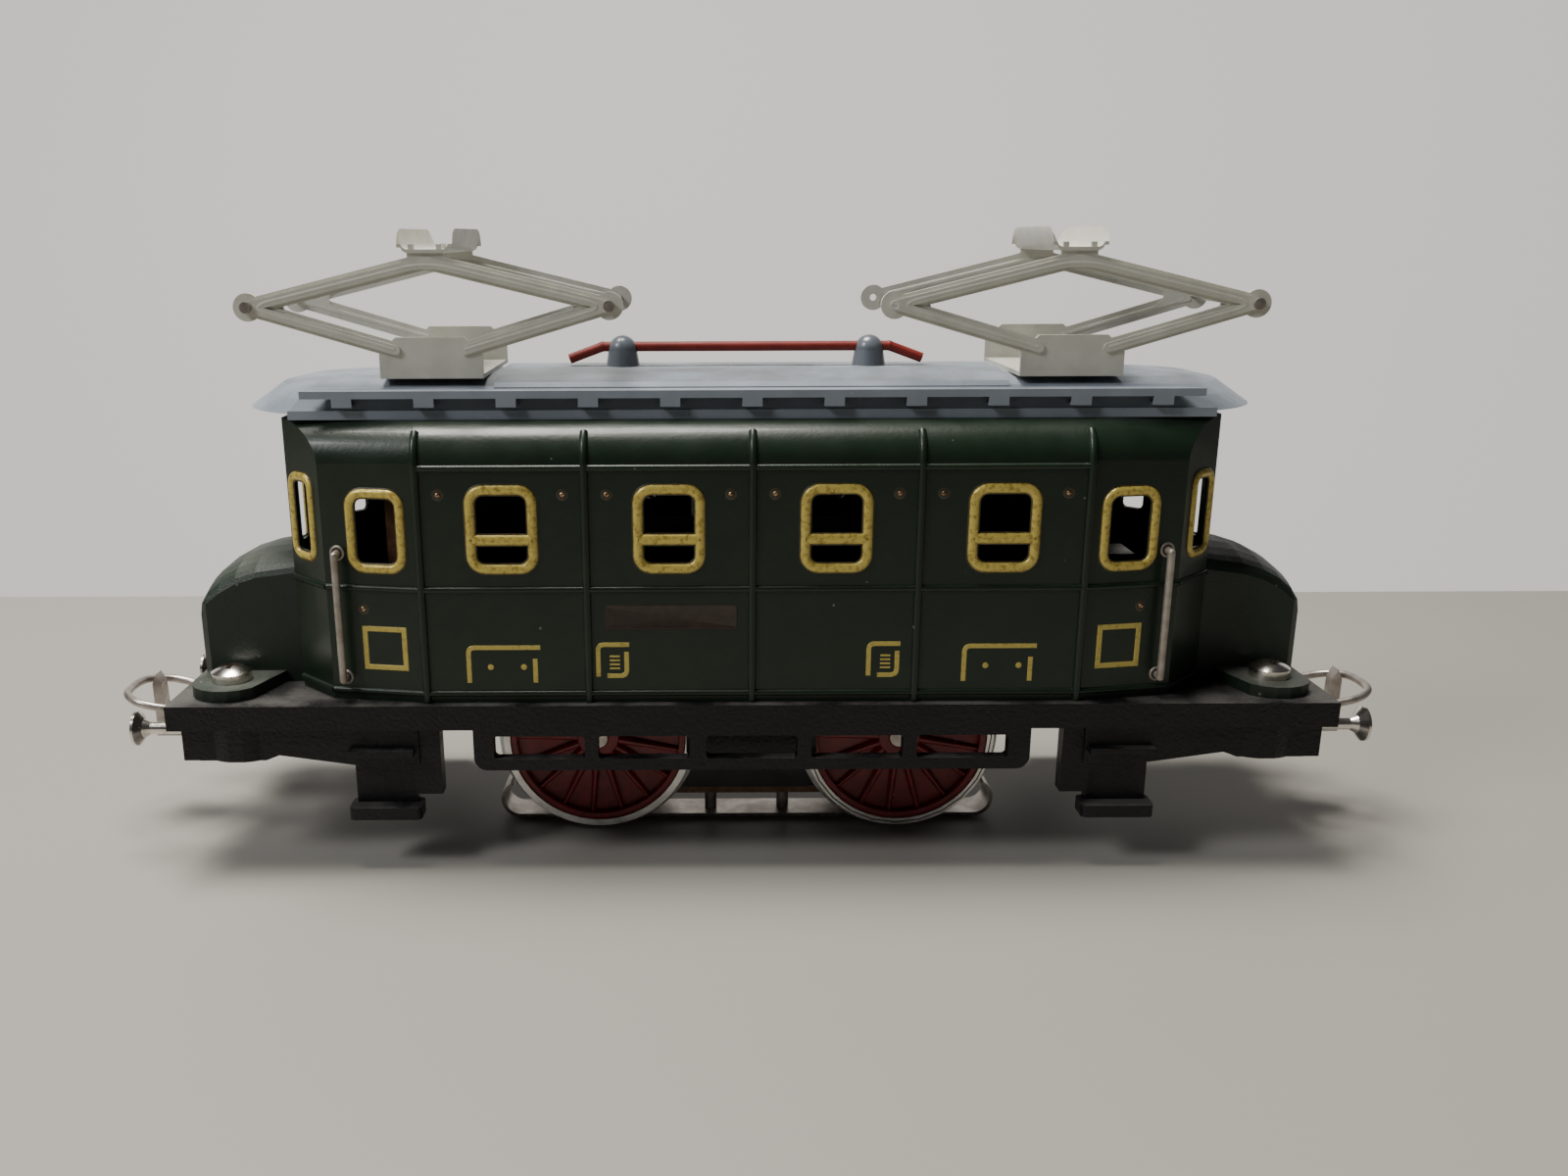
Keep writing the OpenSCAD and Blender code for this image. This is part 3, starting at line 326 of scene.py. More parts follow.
def draw_wheel(group, start):
    """A spoked wheel centre in the XY plane: a rim and a hub turned from profiles, and tapered spokes between them."""
    parts = add(group, "GeometryNodeJoinGeometry")
    spoke = add(group, "GeometryNodeMeshCone", {
        "Vertices": 10, "Side Segments": 1, "Radius Top": start["Spoke tip"], "Radius Bottom": start["Spoke root"],
        "Depth": start["Spoke length"]})
    deeper = add(group, "GeometryNodeTransform", {"Geometry": spoke.outputs["Mesh"], "Scale": (1.0, 1.5, 1.0)})
    ring = add(group, "GeometryNodeMeshCircle", {"Vertices": start["Spokes"], "Radius": start["Hub"]}, fill_type="NONE")
    half = add(group, "ShaderNodeMath", {0: math.pi, 1: start["Spokes"]}, operation="DIVIDE").outputs[0]
    shift = add(group, "ShaderNodeCombineXYZ", {"Z": half})
    turned = add(group, "GeometryNodeTransform", {"Geometry": ring.outputs["Mesh"], "Rotation": shift.outputs["Vector"]})
    place = add(group, "GeometryNodeInputPosition")
    flat = add(group, "FunctionNodeAlignRotationToVector", {"Vector": place.outputs["Position"]}, axis="Z")
    upright = add(group, "FunctionNodeAlignRotationToVector", {
        "Rotation": flat.outputs["Rotation"], "Vector": (0.0, 0.0, 1.0)}, axis="Y", pivot_axis="Z")
    spokes = add(group, "GeometryNodeInstanceOnPoints", {
        "Points": turned.outputs["Geometry"], "Instance": deeper.outputs["Geometry"],
        "Rotation": upright.outputs["Rotation"]})
    group.links.new(spokes.outputs["Instances"], parts.inputs["Geometry"])
    disc = add(group, "GeometryNodeMeshCylinder", {
        "Vertices": 72, "Side Segments": 1, "Fill Segments": 1, "Radius": start["Rim"], "Depth": start["Web"]})
    behind = add(group, "GeometryNodeTransform", {"Geometry": disc.outputs["Mesh"], "Translation": (0.0, 0.0, -0.0005)})
    group.links.new(behind.outputs["Geometry"], parts.inputs["Geometry"])
    for radius, across, height in (("Rim", "Rim width", "Depth"), ("Boss", "Boss width", "Boss depth")):
        circle = add(group, "GeometryNodeCurvePrimitiveCircle", {"Resolution": 72, "Radius": start[radius]}, mode="RADIUS")
        level = add(group, "GeometryNodeSetCurveNormal", {"Curve": circle.outputs["Curve"]}, mode="Z_UP")
        box = add(group, "GeometryNodeCurvePrimitiveQuadrilateral", {
            "Width": start[across], "Height": start[height]}, mode="RECTANGLE")
        eased = add(group, "GeometryNodeFilletCurve", {
            "Curve": box.outputs["Curve"], "Count": 3, "Radius": 0.00028, "Limit Radius": True}, mode="POLY")
        solid = add(group, "GeometryNodeCurveToMesh", {
            "Curve": level.outputs["Curve"], "Profile Curve": eased.outputs["Curve"]})
        group.links.new(solid.outputs["Mesh"], parts.inputs["Geometry"])
    return parts.outputs["Geometry"]


# ---- shader groups ----

def effect(name, values, outputs, draw):
    """A shared shader group. draw(group, inputs, coordinates) returns a socket for each output."""
    group = bpy.data.node_groups.new(name, "ShaderNodeTree")
    kinds = {float: "NodeSocketFloat", tuple: "NodeSocketColor"}
    for key, value in values.items():
        group.interface.new_socket(key, in_out="INPUT", socket_type=kinds[type(value)]).default_value = value
    for key, kind in outputs.items():
        group.interface.new_socket(key, in_out="OUTPUT", socket_type=kinds[kind])
    start = group.nodes.new("NodeGroupInput").outputs
    where = add(group, "ShaderNodeTexCoord").outputs["Object"]
    end = group.nodes.new("NodeGroupOutput")
    for key, socket in draw(group, start, where).items():
        group.links.new(socket, end.inputs[key])
    return group


def noise(group, where, scale, detail=3.0, rough=0.55):
    """Noise over the object's own coordinates, in metres."""
    return add(group, "ShaderNodeTexNoise", {
        "Vector": where, "Scale": scale, "Detail": detail, "Roughness": rough}).outputs["Fac"]


def ramp(group, value, low, high, lowest=0.0, highest=1.0):
    """A value stretched from one range to another and held inside it."""
    return add(group, "ShaderNodeMapRange", {
        "Value": value, "From Min": low, "From Max": high, "To Min": lowest, "To Max": highest},
        interpolation_type="SMOOTHSTEP").outputs["Result"]


def times(group, a, b):
    return add(group, "ShaderNodeMath", {0: a, 1: b}, operation="MULTIPLY").outputs[0]


def blend_colour(group, amount, a, b):
    """One colour over another by an amount."""
    node = add(group, "ShaderNodeMix", data_type="RGBA")
    for index, value in ((0, amount), (6, a), (7, b)):
        if isinstance(value, bpy.types.NodeSocket):
            group.links.new(value, node.inputs[index])
        else:
            node.inputs[index].default_value = value
    return node.outputs[2]


def draw_dust_and_top_shade(group, start, where):
    """Dust and painted shade on faces that look up, thicker in some places: a paler colour lays dust, a darker one
    darkens the tops as painted shade.
    """
    up = add(group, "ShaderNodeSeparateXYZ", {0: add(group, "ShaderNodeNewGeometry").outputs["Normal"]}).outputs["Z"]
    lying = ramp(group, up, 0.82, 0.99)
    clouds = ramp(group, noise(group, where, start["Scale"], 4.0), 0.34, 0.68)
    specks = ramp(group, noise(group, where, 2600.0, 2.0), 0.62, 0.72)
    patches = times(group, clouds, lying)
    grains = times(group, specks, lying)
    both = add(group, "ShaderNodeMath", {0: patches, 1: grains}, operation="MAXIMUM").outputs[0]
    mask = times(group, both, start["Amount"])
    return {"Color": blend_colour(group, mask, start["Color"], start["Dust color"]), "Mask": mask}


def draw_wear(group, start, where):
    """Worn edges, broken up so that only parts of an edge show."""
    sharp = add(group, "ShaderNodeNewGeometry").outputs["Pointiness"]
    edges = ramp(group, sharp, 0.505, 0.56)
    broken = ramp(group, noise(group, where, start["Scale"], 4.0), 0.45, 0.6)
    return {"Mask": times(group, times(group, edges, broken), start["Amount"])}


def draw_mottle(group, start, where):
    """Two tones mixed in small spots."""
    spots = ramp(group, noise(group, where, start["Scale"], 3.0, 0.6), start["Low"], start["High"])
    return {"Color": blend_colour(group, spots, start["Color A"], start["Color B"]), "Mask": spots}


def draw_flecks(group, start, where):
    """Small light flecks and scratches, few and far between."""
    cells = add(group, "ShaderNodeTexVoronoi", {"Vector": where, "Scale": start["Scale"]})
    near = ramp(group, cells.outputs["Distance"], 0.04, 0.11, 1.0, 0.0)
    picked = ramp(group, add(group, "ShaderNodeSeparateXYZ", {0: cells.outputs["Color"]}).outputs["X"], 0.86, 0.9)
    return {"Mask": times(group, times(group, near, picked), start["Amount"])}


def draw_streaks(group, start, where):
    """Fine drawn or turned lines along one axis, given by how far each axis is stretched."""
    stretch = add(group, "ShaderNodeCombineXYZ", {"X": start["X"], "Y": start["Y"], "Z": start["Z"]}).outputs["Vector"]
    pulled = add(group, "ShaderNodeVectorMath", {0: where, 1: stretch}, operation="MULTIPLY").outputs["Vector"]
    return {"Height": noise(group, pulled, start["Scale"], 4.0, 0.65)}


EFFECTS = {}


def make_effects():
    # This group lays a colour on faces that look up: dust where it is paler, painted shade where it is darker, as on
    # the roof.
    EFFECTS["dust_and_top_shade"] = effect("Dust", {
        "Color": (0.5, 0.5, 0.5, 1.0), "Dust color": (0.6, 0.58, 0.54, 1.0), "Scale": 60.0, "Amount": 0.5},
        {"Color": tuple, "Mask": float}, draw_dust_and_top_shade)
    EFFECTS["wear"] = effect("Edge wear", {"Scale": 300.0, "Amount": 0.5}, {"Mask": float}, draw_wear)
    EFFECTS["mottle"] = effect("Mottle", {
        "Color A": (0.5, 0.5, 0.5, 1.0), "Color B": (0.4, 0.4, 0.4, 1.0), "Scale": 900.0, "Low": 0.4, "High": 0.6},
        {"Color": tuple, "Mask": float}, draw_mottle)
    EFFECTS["flecks"] = effect("Flecks", {"Scale": 420.0, "Amount": 0.5}, {"Mask": float}, draw_flecks)
    EFFECTS["streaks"] = effect("Streaks", {"X": 1.0, "Y": 1.0, "Z": 1.0, "Scale": 900.0}, {"Height": float}, draw_streaks)


def use(material, name, **sockets):
    """Places a shared effect in a material with its own values."""
    node = material.nodes.new("ShaderNodeGroup")
    node.node_tree = EFFECTS[name]
    for key, value in sockets.items():
        key = key.replace("_", " ")
        key = next(k for k in node.inputs.keys() if k.lower() == key.lower())
        if isinstance(value, bpy.types.NodeSocket):
            material.links.new(value, node.inputs[key])
        else:
            node.inputs[key].default_value = value
    return node.outputs


def rgb(colour):
    return (colour[0], colour[1], colour[2], 1.0)


def finish_of(name, colour, second=None, spots=(900.0, 0.4, 0.6), metallic=0.0, rough=(0.35, 0.45), grain=(1800.0, 0.02),
              dust_and_top_shade=(0.0, 60.0), dust_and_top_shade_colour=(0.55, 0.53, 0.48), wear=0.0, wear_colour=(0.5, 0.46, 0.4), flecks=0.0,
              streaks=None, coat=0.0, bump=0.00004, specular=0.5):
    """A finish: base tones, dust and painted shade on faces that look up, worn edges, flecks, and a fine surface grain
    or drawn lines.
    """
    material = bpy.data.materials.new(name)
    material.use_nodes = True
    tree = material.node_tree
    shader = next(n for n in tree.nodes if n.type == "BSDF_PRINCIPLED")
    where = add(tree, "ShaderNodeTexCoord").outputs["Object"]
    second = second or tuple(c * 0.82 for c in colour)
    tones = use(tree, "mottle", Color_A=rgb(colour), Color_B=rgb(second), Scale=spots[0], Low=spots[1], High=spots[2])
    base = tones["Color"]
    roughness = ramp(tree, noise(tree, where, 140.0, 3.0), 0.3, 0.7, rough[0], rough[1])
    if dust_and_top_shade[0]:
        lying = use(tree, "dust_and_top_shade", Color=base, Dust_color=rgb(dust_and_top_shade_colour), Amount=dust_and_top_shade[0], Scale=dust_and_top_shade[1])
        base = lying["Color"]
        more = times(tree, lying["Mask"], 0.35)
        roughness = add(tree, "ShaderNodeMath", {0: roughness, 1: more}, operation="ADD", use_clamp=True).outputs[0]
    if wear:
        worn = use(tree, "wear", Amount=wear)
        base = blend_colour(tree, worn["Mask"], base, rgb(wear_colour))
    if flecks:
        chips = use(tree, "flecks", Amount=flecks)
        base = blend_colour(tree, chips["Mask"], base, rgb((0.55, 0.55, 0.5)))
    tree.links.new(base, shader.inputs["Base Color"])
    tree.links.new(roughness, shader.inputs["Roughness"])
    shader.inputs["Metallic"].default_value = metallic
    shader.inputs["Coat Weight"].default_value = coat
    shader.inputs["Specular IOR Level"].default_value = specular
    if streaks:
        height = use(tree, "streaks", X=streaks[0], Y=streaks[1], Z=streaks[2], Scale=streaks[3])["Height"]
    else:
        height = noise(tree, where, grain[0], 3.0, 0.6)
    relief = add(tree, "ShaderNodeBump", {"Height": height, "Strength": grain[1] * 10 if grain[1] < 0.1 else 1.0,
                                          "Distance": bump})
    tree.links.new(relief.outputs["Normal"], shader.inputs["Normal"])
    return material


FINISHES = {}


def make_finishes():
    """The finishes, from the colours in the panel."""
    hue = bpy.context.scene.loco_colours
    green, slate, grey = tuple(hue.body), tuple(hue.roof), tuple(hue.pantograph)
    red, gold, black = tuple(hue.wheel), tuple(hue.window), tuple(hue.frame)
    F = FINISHES
    F["body_green"] = finish_of("Body enamel", green, tuple(c * 0.85 for c in green), (260.0, 0.35, 0.65),
        rough=(0.32, 0.40), grain=(1500.0, 0.05), specular=0.35, dust_and_top_shade=(0.10, 90.0), dust_and_top_shade_colour=(0.20, 0.22, 0.18), flecks=0.25,
        coat=0.08, bump=0.00005)
    F["hood_green"] = finish_of("Hood enamel", green, tuple(c * 0.8 for c in green), (300.0, 0.35, 0.65),
        rough=(0.42, 0.52), grain=(2600.0, 0.09), dust_and_top_shade=(0.5, 60.0), dust_and_top_shade_colour=(0.17, 0.17, 0.15), flecks=0.25,
        bump=0.00008)
    # The roof enamel is lighter than the paint, as painted light on its front faces; its darker colour on faces that
    # look up is partly dust and partly painted shade that brings the tops back down.
    F["roof_slate"] = finish_of("Roof enamel", slate, tuple(c * 0.9 for c in slate), (180.0, 0.35, 0.65),
        rough=(0.36, 0.46), grain=(1300.0, 0.05), dust_and_top_shade=(0.7, 45.0), dust_and_top_shade_colour=(0.11, 0.11, 0.105), flecks=0.2, specular=0.15)
    # The walks the same: lighter enamel as painted light on their fronts, and darker tops that are partly dust and
    # partly painted shade.
    F["walk_slate"] = finish_of("Roof walk enamel", slate, tuple(c * 0.9 for c in slate), (180.0, 0.35, 0.65),
        rough=(0.36, 0.46), grain=(1300.0, 0.05), dust_and_top_shade=(0.35, 60.0), dust_and_top_shade_colour=(0.16, 0.165, 0.165), flecks=0.2, specular=0.25)
    F["panto_grey"] = finish_of("Pantograph enamel", grey, tuple(c * 0.92 for c in grey), (240.0, 0.35, 0.65),
        rough=(0.40, 0.5), grain=(1600.0, 0.04), wear=0.12, wear_colour=(0.30, 0.25, 0.18), dust_and_top_shade=(0.12, 90.0))
    F["conductor_red"] = finish_of("Red enamel", tuple(hue.conductor), None, (400.0, 0.35, 0.65),
        rough=(0.45, 0.6), grain=(2000.0, 0.06), specular=0.3)
    F["insulator_slate"] = finish_of("Insulator enamel", tuple(c * 0.5 for c in slate), None, (300.0, 0.35, 0.65),
        rough=(0.25, 0.34), grain=(900.0, 0.03), dust_and_top_shade=(0.12, 90.0), coat=0.2)
    F["wheel_red"] = finish_of("Wheel enamel", red, tuple(c * 0.7 for c in red), (420.0, 0.35, 0.65),
        rough=(0.36, 0.48), grain=(1800.0, 0.07), flecks=0.4)
    F["frame_black"] = finish_of("Cast frame enamel", black, tuple(c * 1.7 for c in black), (1500.0, 0.55, 0.72),
        rough=(0.34, 0.46), grain=(1600.0, 0.09), bump=0.00022, dust_and_top_shade=(0.7, 110.0), dust_and_top_shade_colour=(0.11, 0.105, 0.095), specular=0.3)
    F["block_black"] = finish_of("Motor block enamel", tuple(c * 0.9 for c in black), None, (500.0, 0.4, 0.6),
        rough=(0.45, 0.6), grain=(1800.0, 0.05))
    F["window_gold"] = finish_of("Window gold", gold, tuple(c * f for c, f in zip(gold, (0.50, 0.42, 0.30))),
        (1500.0, 0.44, 0.72), metallic=0.25, rough=(0.30, 0.42), grain=(2400.0, 0.06), coat=0.1)
    # Painted shade: the dark ring under each window frame, darkening the crease where the frame meets the wall.
    F["frame_edge_shade"] = finish_of("Frame edge shade", (0.075, 0.05, 0.012), (0.03, 0.03, 0.015), (1300.0, 0.4, 0.6),
        rough=(0.38, 0.48))
    F["lining"] = finish_of("Lining yellow", tuple(c * 0.85 for c in gold), tuple(c * 0.5 for c in gold),
        (1700.0, 0.48, 0.75), rough=(0.36, 0.46), metallic=0.1)
    F["rivet"] = finish_of("Rivet bronze", (0.62, 0.44, 0.26), (0.16, 0.09, 0.05), (1500.0, 0.4, 0.6), metallic=0.8,
        rough=(0.26, 0.34))
    # Painted shade: a dark disc under each rivet, darkening the wall round its foot.
    F["rivet_halo"] = finish_of("Painted rivet shadow", (0.05, 0.035, 0.018), (0.03, 0.03, 0.018), (900.0, 0.4, 0.6),
        rough=(0.35, 0.42))
    F["plate"] = finish_of("Plate brown", (0.022, 0.014, 0.010), (0.035, 0.020, 0.013), (700.0, 0.35, 0.65),
        rough=(0.36, 0.46))
    F["steel"] = finish_of("Drawn steel", (0.46, 0.42, 0.39), (0.33, 0.29, 0.26), (500.0, 0.35, 0.65), metallic=0.85,
        rough=(0.30, 0.44), grain=(2400.0, 0.04))
    F["rail_steel"] = finish_of("Handrail wire", (0.42, 0.38, 0.33), (0.30, 0.26, 0.22), (450.0, 0.35, 0.65),
        metallic=0.6, rough=(0.36, 0.48), streaks=(8.0, 8.0, 1.0, 500.0))
    F["nickel"] = finish_of("Nickel plate", (0.74, 0.70, 0.65), (0.55, 0.49, 0.42), (350.0, 0.4, 0.7), metallic=1.0,
        rough=(0.14, 0.26), grain=(1600.0, 0.04), wear=0.4, wear_colour=(0.85, 0.82, 0.78))
    F["tyre_steel"] = finish_of("Tyre steel", (0.80, 0.79, 0.77), (0.62, 0.60, 0.57), (300.0, 0.35, 0.65),
        metallic=0.75, rough=(0.26, 0.38), grain=(2200.0, 0.04))
    F["traction"] = finish_of("Traction rubber", (0.035, 0.03, 0.028), None, (900.0, 0.35, 0.65), rough=(0.55, 0.7))
    F["brass"] = finish_of("Brass", (0.70, 0.50, 0.22), (0.48, 0.32, 0.14), (400.0, 0.35, 0.65), metallic=0.9,
        rough=(0.28, 0.40), grain=(2000.0, 0.04))
    F["iron"] = finish_of("Lamination iron", (0.33, 0.32, 0.31), (0.20, 0.18, 0.17), (400.0, 0.35, 0.65),
        metallic=0.8, rough=(0.38, 0.5), streaks=(1.0, 14.0, 1.0, 400.0))
    F["copper"] = finish_of("Enamelled copper", (0.45, 0.17, 0.06), (0.28, 0.09, 0.03), (500.0, 0.35, 0.65),
        metallic=0.7, rough=(0.28, 0.4), streaks=(1.0, 1.0, 16.0, 300.0), bump=0.00012)
    F["hardboard"] = finish_of("Hard paper", (0.16, 0.075, 0.035), (0.10, 0.045, 0.02), (800.0, 0.35, 0.65),
        rough=(0.45, 0.6), streaks=(1.0, 1.0, 9.0, 500.0))
    # Painted shade: a dark green that stands for the shaded inside of each handrail hole.
    F["louvre"] = finish_of("Louvre shadow", tuple(c * 0.35 for c in green), None, (700.0, 0.35, 0.65), rough=(0.4, 0.5))


# ---- settings ----

def length(name, text, value):
    return FloatProperty(name=name, description=text, default=value, unit="LENGTH", precision=5)


def colour(name, text, value):
    return FloatVectorProperty(name=name, description=text, default=value, subtype="COLOR", size=3, min=0.0, max=1.0)


class LocoSizes(bpy.types.PropertyGroup):
    band: length("Window band", "Width of a side window's pressed band", 1.45 * MM)
    dome: length("Window dome", "How far the window frames stand out", 0.5 * MM)
    line: length("Lining width", "Width of a painted line", 0.75 * MM)
    rivet: length("Rivet radius", "Radius of the rivets beside the windows", 0.42 * MM)
    spokes: IntProperty(name="Spokes", description="Number of spokes in a wheel", default=17, min=8, max=24)
    wire: length("Loop wire", "Radius of the coupling loops' wire", 0.64 * MM)


class LocoColours(bpy.types.PropertyGroup):
    body: colour("Body", "Enamel of the body and hoods", (0.0085, 0.0190, 0.0095))
    # Lighter than the real roof paint, as painted light on the roof's front faces.
    roof: colour("Roof", "Enamel of the roof", (0.25, 0.285, 0.33))
    frame: colour("Frame", "Enamel of the cast frame", (0.0050, 0.0050, 0.0060))
    window: colour("Windows", "Gold paint of the window frames", (0.62, 0.49, 0.11))
    pantograph: colour("Pantographs", "Enamel of the pantographs", (0.56, 0.55, 0.48))
    wheel: colour("Wheels", "Enamel of the wheels", (0.20, 0.008, 0.012))
    conductor: colour("Conductor", "Enamel of the bar on the roof", (0.20, 0.022, 0.016))


# ---- operators ----

class LOCO_OT_finishes(bpy.types.Operator):
    """Makes the finishes and gives every part of the model its own"""
    bl_idname = "loco.finishes"
    bl_label = "Finishes"

    def execute(self, context):
        make_effects()
        make_finishes()
        special = {"motor_block": "block_black", "handrails": "rail_steel", "roof_walk_front": "walk_slate",
                   "roof_walk_rear": "walk_slate"}
        slots = {row["node"]: row["material_slot"] for row in frame["record"]["subparts"]}
        for name, node in NODES.items():
            finish = FINISHES[special.get(name, slots[name])]
            node.data.materials.clear()
            node.data.materials.append(finish)
        return {"FINISHED"}


class LOCO_OT_windows(bpy.types.Operator):
    """Pressed gold window frames, each over a wider, lower dark ring that shows round its foot as painted shade where
    the frame meets the wall
    """
    bl_idname = "loco.windows"
    bl_label = "Window frames"

    def execute(self, context):
        size = context.scene.loco_sizes
        tree = shape_tree("Window frame", {
            "Width": 0.00895, "Height": 0.01155, "Corner": 0.002, "Band": 0.00145, "Dome": 0.0005, "Bar": 0.0,
            "Bar place": 0.0}, draw_window_frame)
        kinds = {
            "side": ([(wall("side", 1, s), x, 52.4) for s in SIDES for x in WINDOW_X],
                     dict(Width=8.95, Height=11.6, Corner=2.0, Band=1.45, Bar=0.8, place=-1.5)),
            "cab": ([(wall("cab", e, s), e * 54.5, 52.0) for e in SIDES for s in SIDES],
                    dict(Width=7.65, Height=11.1, Corner=2.0, Band=1.35, Bar=0.0, place=0.0)),
            "angle": ([(wall("angle", e, s), e * 66.25, 53.3) for e in SIDES for s in SIDES],
                      dict(Width=5.3, Height=11.9, Corner=1.6, Band=1.3, Bar=0.0, place=0.0)),
            "end": ([(wall("end", e, 1), y, 53.3) for e in SIDES for y in (-6.4, 6.4)],
                    dict(Width=6.3, Height=11.4, Corner=1.6, Band=1.3, Bar=0.0, place=0.0)),
        }
        for kind, (places, s) in kinds.items():
            spots = [(on_wall(w, x, z), turn_of(w)) for w, x, z in places]
            # The second pass lays a wider, lower dark ring under each frame: painted shade round its foot.
            for name, finish, wider, lower in (("frames", "window_gold", 0.0, 1.0), ("edges", "frame_edge_shade", 0.35, 0.3)):
                grow(f"window_{name}_{kind}", tree, spots, FINISHES[finish], {
                    "Width": s["Width"] * MM, "Height": s["Height"] * MM, "Corner": s["Corner"] * MM,
                    "Band": (s["Band"] + wider) * MM + size.band - 1.45 * MM, "Dome": size.dome * lower,
                    "Bar": (s["Bar"] + (wider / 2 if s["Bar"] else 0.0)) * MM, "Bar place": s["place"] * MM},
                    slot="body_green")
        return {"FINISHED"}


class LOCO_OT_rivets(bpy.types.Operator):
    """Small bronze rivets on either side of the windows, each on a wider, low dark disc of painted shade round its foot
    """
    bl_idname = "loco.rivets"
    bl_label = "Rivets"

    def execute(self, context):
        radius = context.scene.loco_sizes.rivet
        tree = shape_tree("Rivet", {"Radius": 0.0005, "Height": 0.0003}, draw_rivet)
        places = []
        for s in SIDES:
            where = wall("side", 1, s)
            for x in WINDOW_X:
                for d in (-8.9, 8.9):
                    places.append((on_wall(where, x + d, 57.5), turn_of(where)))
            for e in SIDES:
                cab = wall("cab", e, s)
                places.append((on_wall(cab, e * 57.2, 40.3), turn_of(cab)))
        grow("side_rivets", tree, places, FINISHES["rivet"], {"Radius": radius, "Height": radius * 0.75},
             slot="body_green")
        # Painted shadow round each rivet: a flat dark disc about twice as wide as the head.
        grow("rivet_halos", tree, places, FINISHES["rivet_halo"], {"Radius": radius * 2.1, "Height": radius * 0.12},
             slot="body_green")
        return {"FINISHED"}


class LOCO_OT_lining(bpy.types.Operator):
    """Painted hatches, louvres and squares in yellow lines on the sides"""
    bl_idname = "loco.lining"
    bl_label = "Lining"

    def execute(self, context):
        line = context.scene.loco_sizes.line / MM
        bm = bmesh.new()
        dots = []
        for s in SIDES:
            side = wall("side", 1, s)
            flip = 1 if s == NEAR else -1

            def draw(points, x, z, width=line, radius=0.9):
                path = [Vector((x + p[0], z + p[1])) for p in points]
                path = round_path(path, radius) if radius else path
                ribbon(bm, side, [Vector((q.x * flip, q.y)) for q in path], width, 0.045)

            for x in (-41.8, 31.3):
                draw([(0, 0), (0, 5.4), (10.6, 5.4)], x, 29.3)
                draw([(9.8, 0), (9.8, 3.7)], x, 29.3, radius=0)
                for dx in (3.2, 8.1):
                    dots.append((on_wall(side, (x + dx) * flip, 31.7), turn_of(side)))
            for x in (-22.7, 17.2):
                draw([(0, 0), (0, 4.9), (4.6, 4.9)], x, 30.2)
                draw([(4.2, 3.8), (4.2, 0.1), (1.3, 0.1)], x, 30.2)
                for k in range(4):
                    draw([(1.7, 1.25 + k * 0.62), (3.2, 1.25 + k * 0.62)], x, 30.2, width=0.3, radius=0)
            for e in SIDES:
                cab = wall("cab", e, s)
                square = [Vector((e * x, z)) for x, z in ((51.2, 31.4), (57.2, 31.4), (57.2, 37.3), (51.2, 37.3))]
                ribbon(bm, cab, square, line * 1.1, 0.07, closed=True)
        new_object("side_lining", mesh_of("side_lining", bm, FINISHES["lining"]), slot="body_green")
        tree = shape_tree("Dot", {"Radius": 0.00045, "Height": 0.00005}, draw_rivet)
        grow("lining_dots", tree, dots, FINISHES["lining"], slot="body_green")
        return {"FINISHED"}


class LOCO_OT_plates(bpy.types.Operator):
    """A plain brown plate on each side, with a low rim and nothing on it"""
    bl_idname = "loco.plates"
    bl_label = "Side plates"

    def execute(self, context):
        bm = bmesh.new()
        for s in SIDES:
            side = wall("side", 1, s)
            flip = 1 if s == NEAR else -1
            low, high = Vector((-21.6, 37.4)), Vector((-2.2, 41.2))
            middle = (low + high) / 2
            rings = []
            for inset, lift in ((0, -0.02), (0.08, 0.08), (0.34, 0.08), (0.42, 0.045)):
                corners = [(low.x + inset, low.y + inset), (high.x - inset, low.y + inset),
                           (high.x - inset, high.y - inset), (low.x + inset, high.y - inset)]
                path = round_path(corners, max(0.05, 0.5 - inset), closed=True)
                rings.append([bm.verts.new(on_wall(side, q.x * flip, q.y) + side[2] * (lift * MM)) for q in path])
            for a, b in zip(rings, rings[1:]):
                for k in range(len(a)):
                    bm.faces.new((a[k], a[(k + 1) % len(a)], b[(k + 1) % len(a)], b[k]))
            bm.faces.new(rings[0])
            top = bm.verts.new(on_wall(side, middle.x * flip, middle.y) + side[2] * (0.045 * MM))
            ring = rings[-1]
            for k in range(len(ring)):
                bm.faces.new((ring[k], ring[(k + 1) % len(ring)], top))
        new_object("side_plates", mesh_of("side_plates", bm, FINISHES["plate"]), slot="body_green")
        return {"FINISHED"}


class LOCO_OT_eyelets(bpy.types.Operator):
    """Wire rings where the handrails go into the body, each round a flat dark disc of painted shade that stands for the
    hole
    """
    bl_idname = "loco.eyelets"
    bl_label = "Handrail eyelets"

    def execute(self, context):
        tree = shape_tree("Eyelet", {"Radius": 0.00095, "Wire": 0.0002, "Height": 0.0002}, draw_ring)
        shade = shape_tree("Eyelet shade", {"Radius": 0.00085, "Height": 0.00004}, draw_rivet)
        places = []
        for e in SIDES:
            for s in SIDES:
                cab = wall("cab", e, s)
                places += [(on_wall(cab, e * RAIL_X, z), turn_of(cab)) for z in (29.6, 48.6)]
        grow("handrail_eyelets", tree, places, FINISHES["rail_steel"], slot="steel")
        # A flat dark disc in each ring: painted shade for the hole.
        grow("handrail_hole_shade", shade, places, FINISHES["louvre"], slot="body_green")
        return {"FINISHED"}


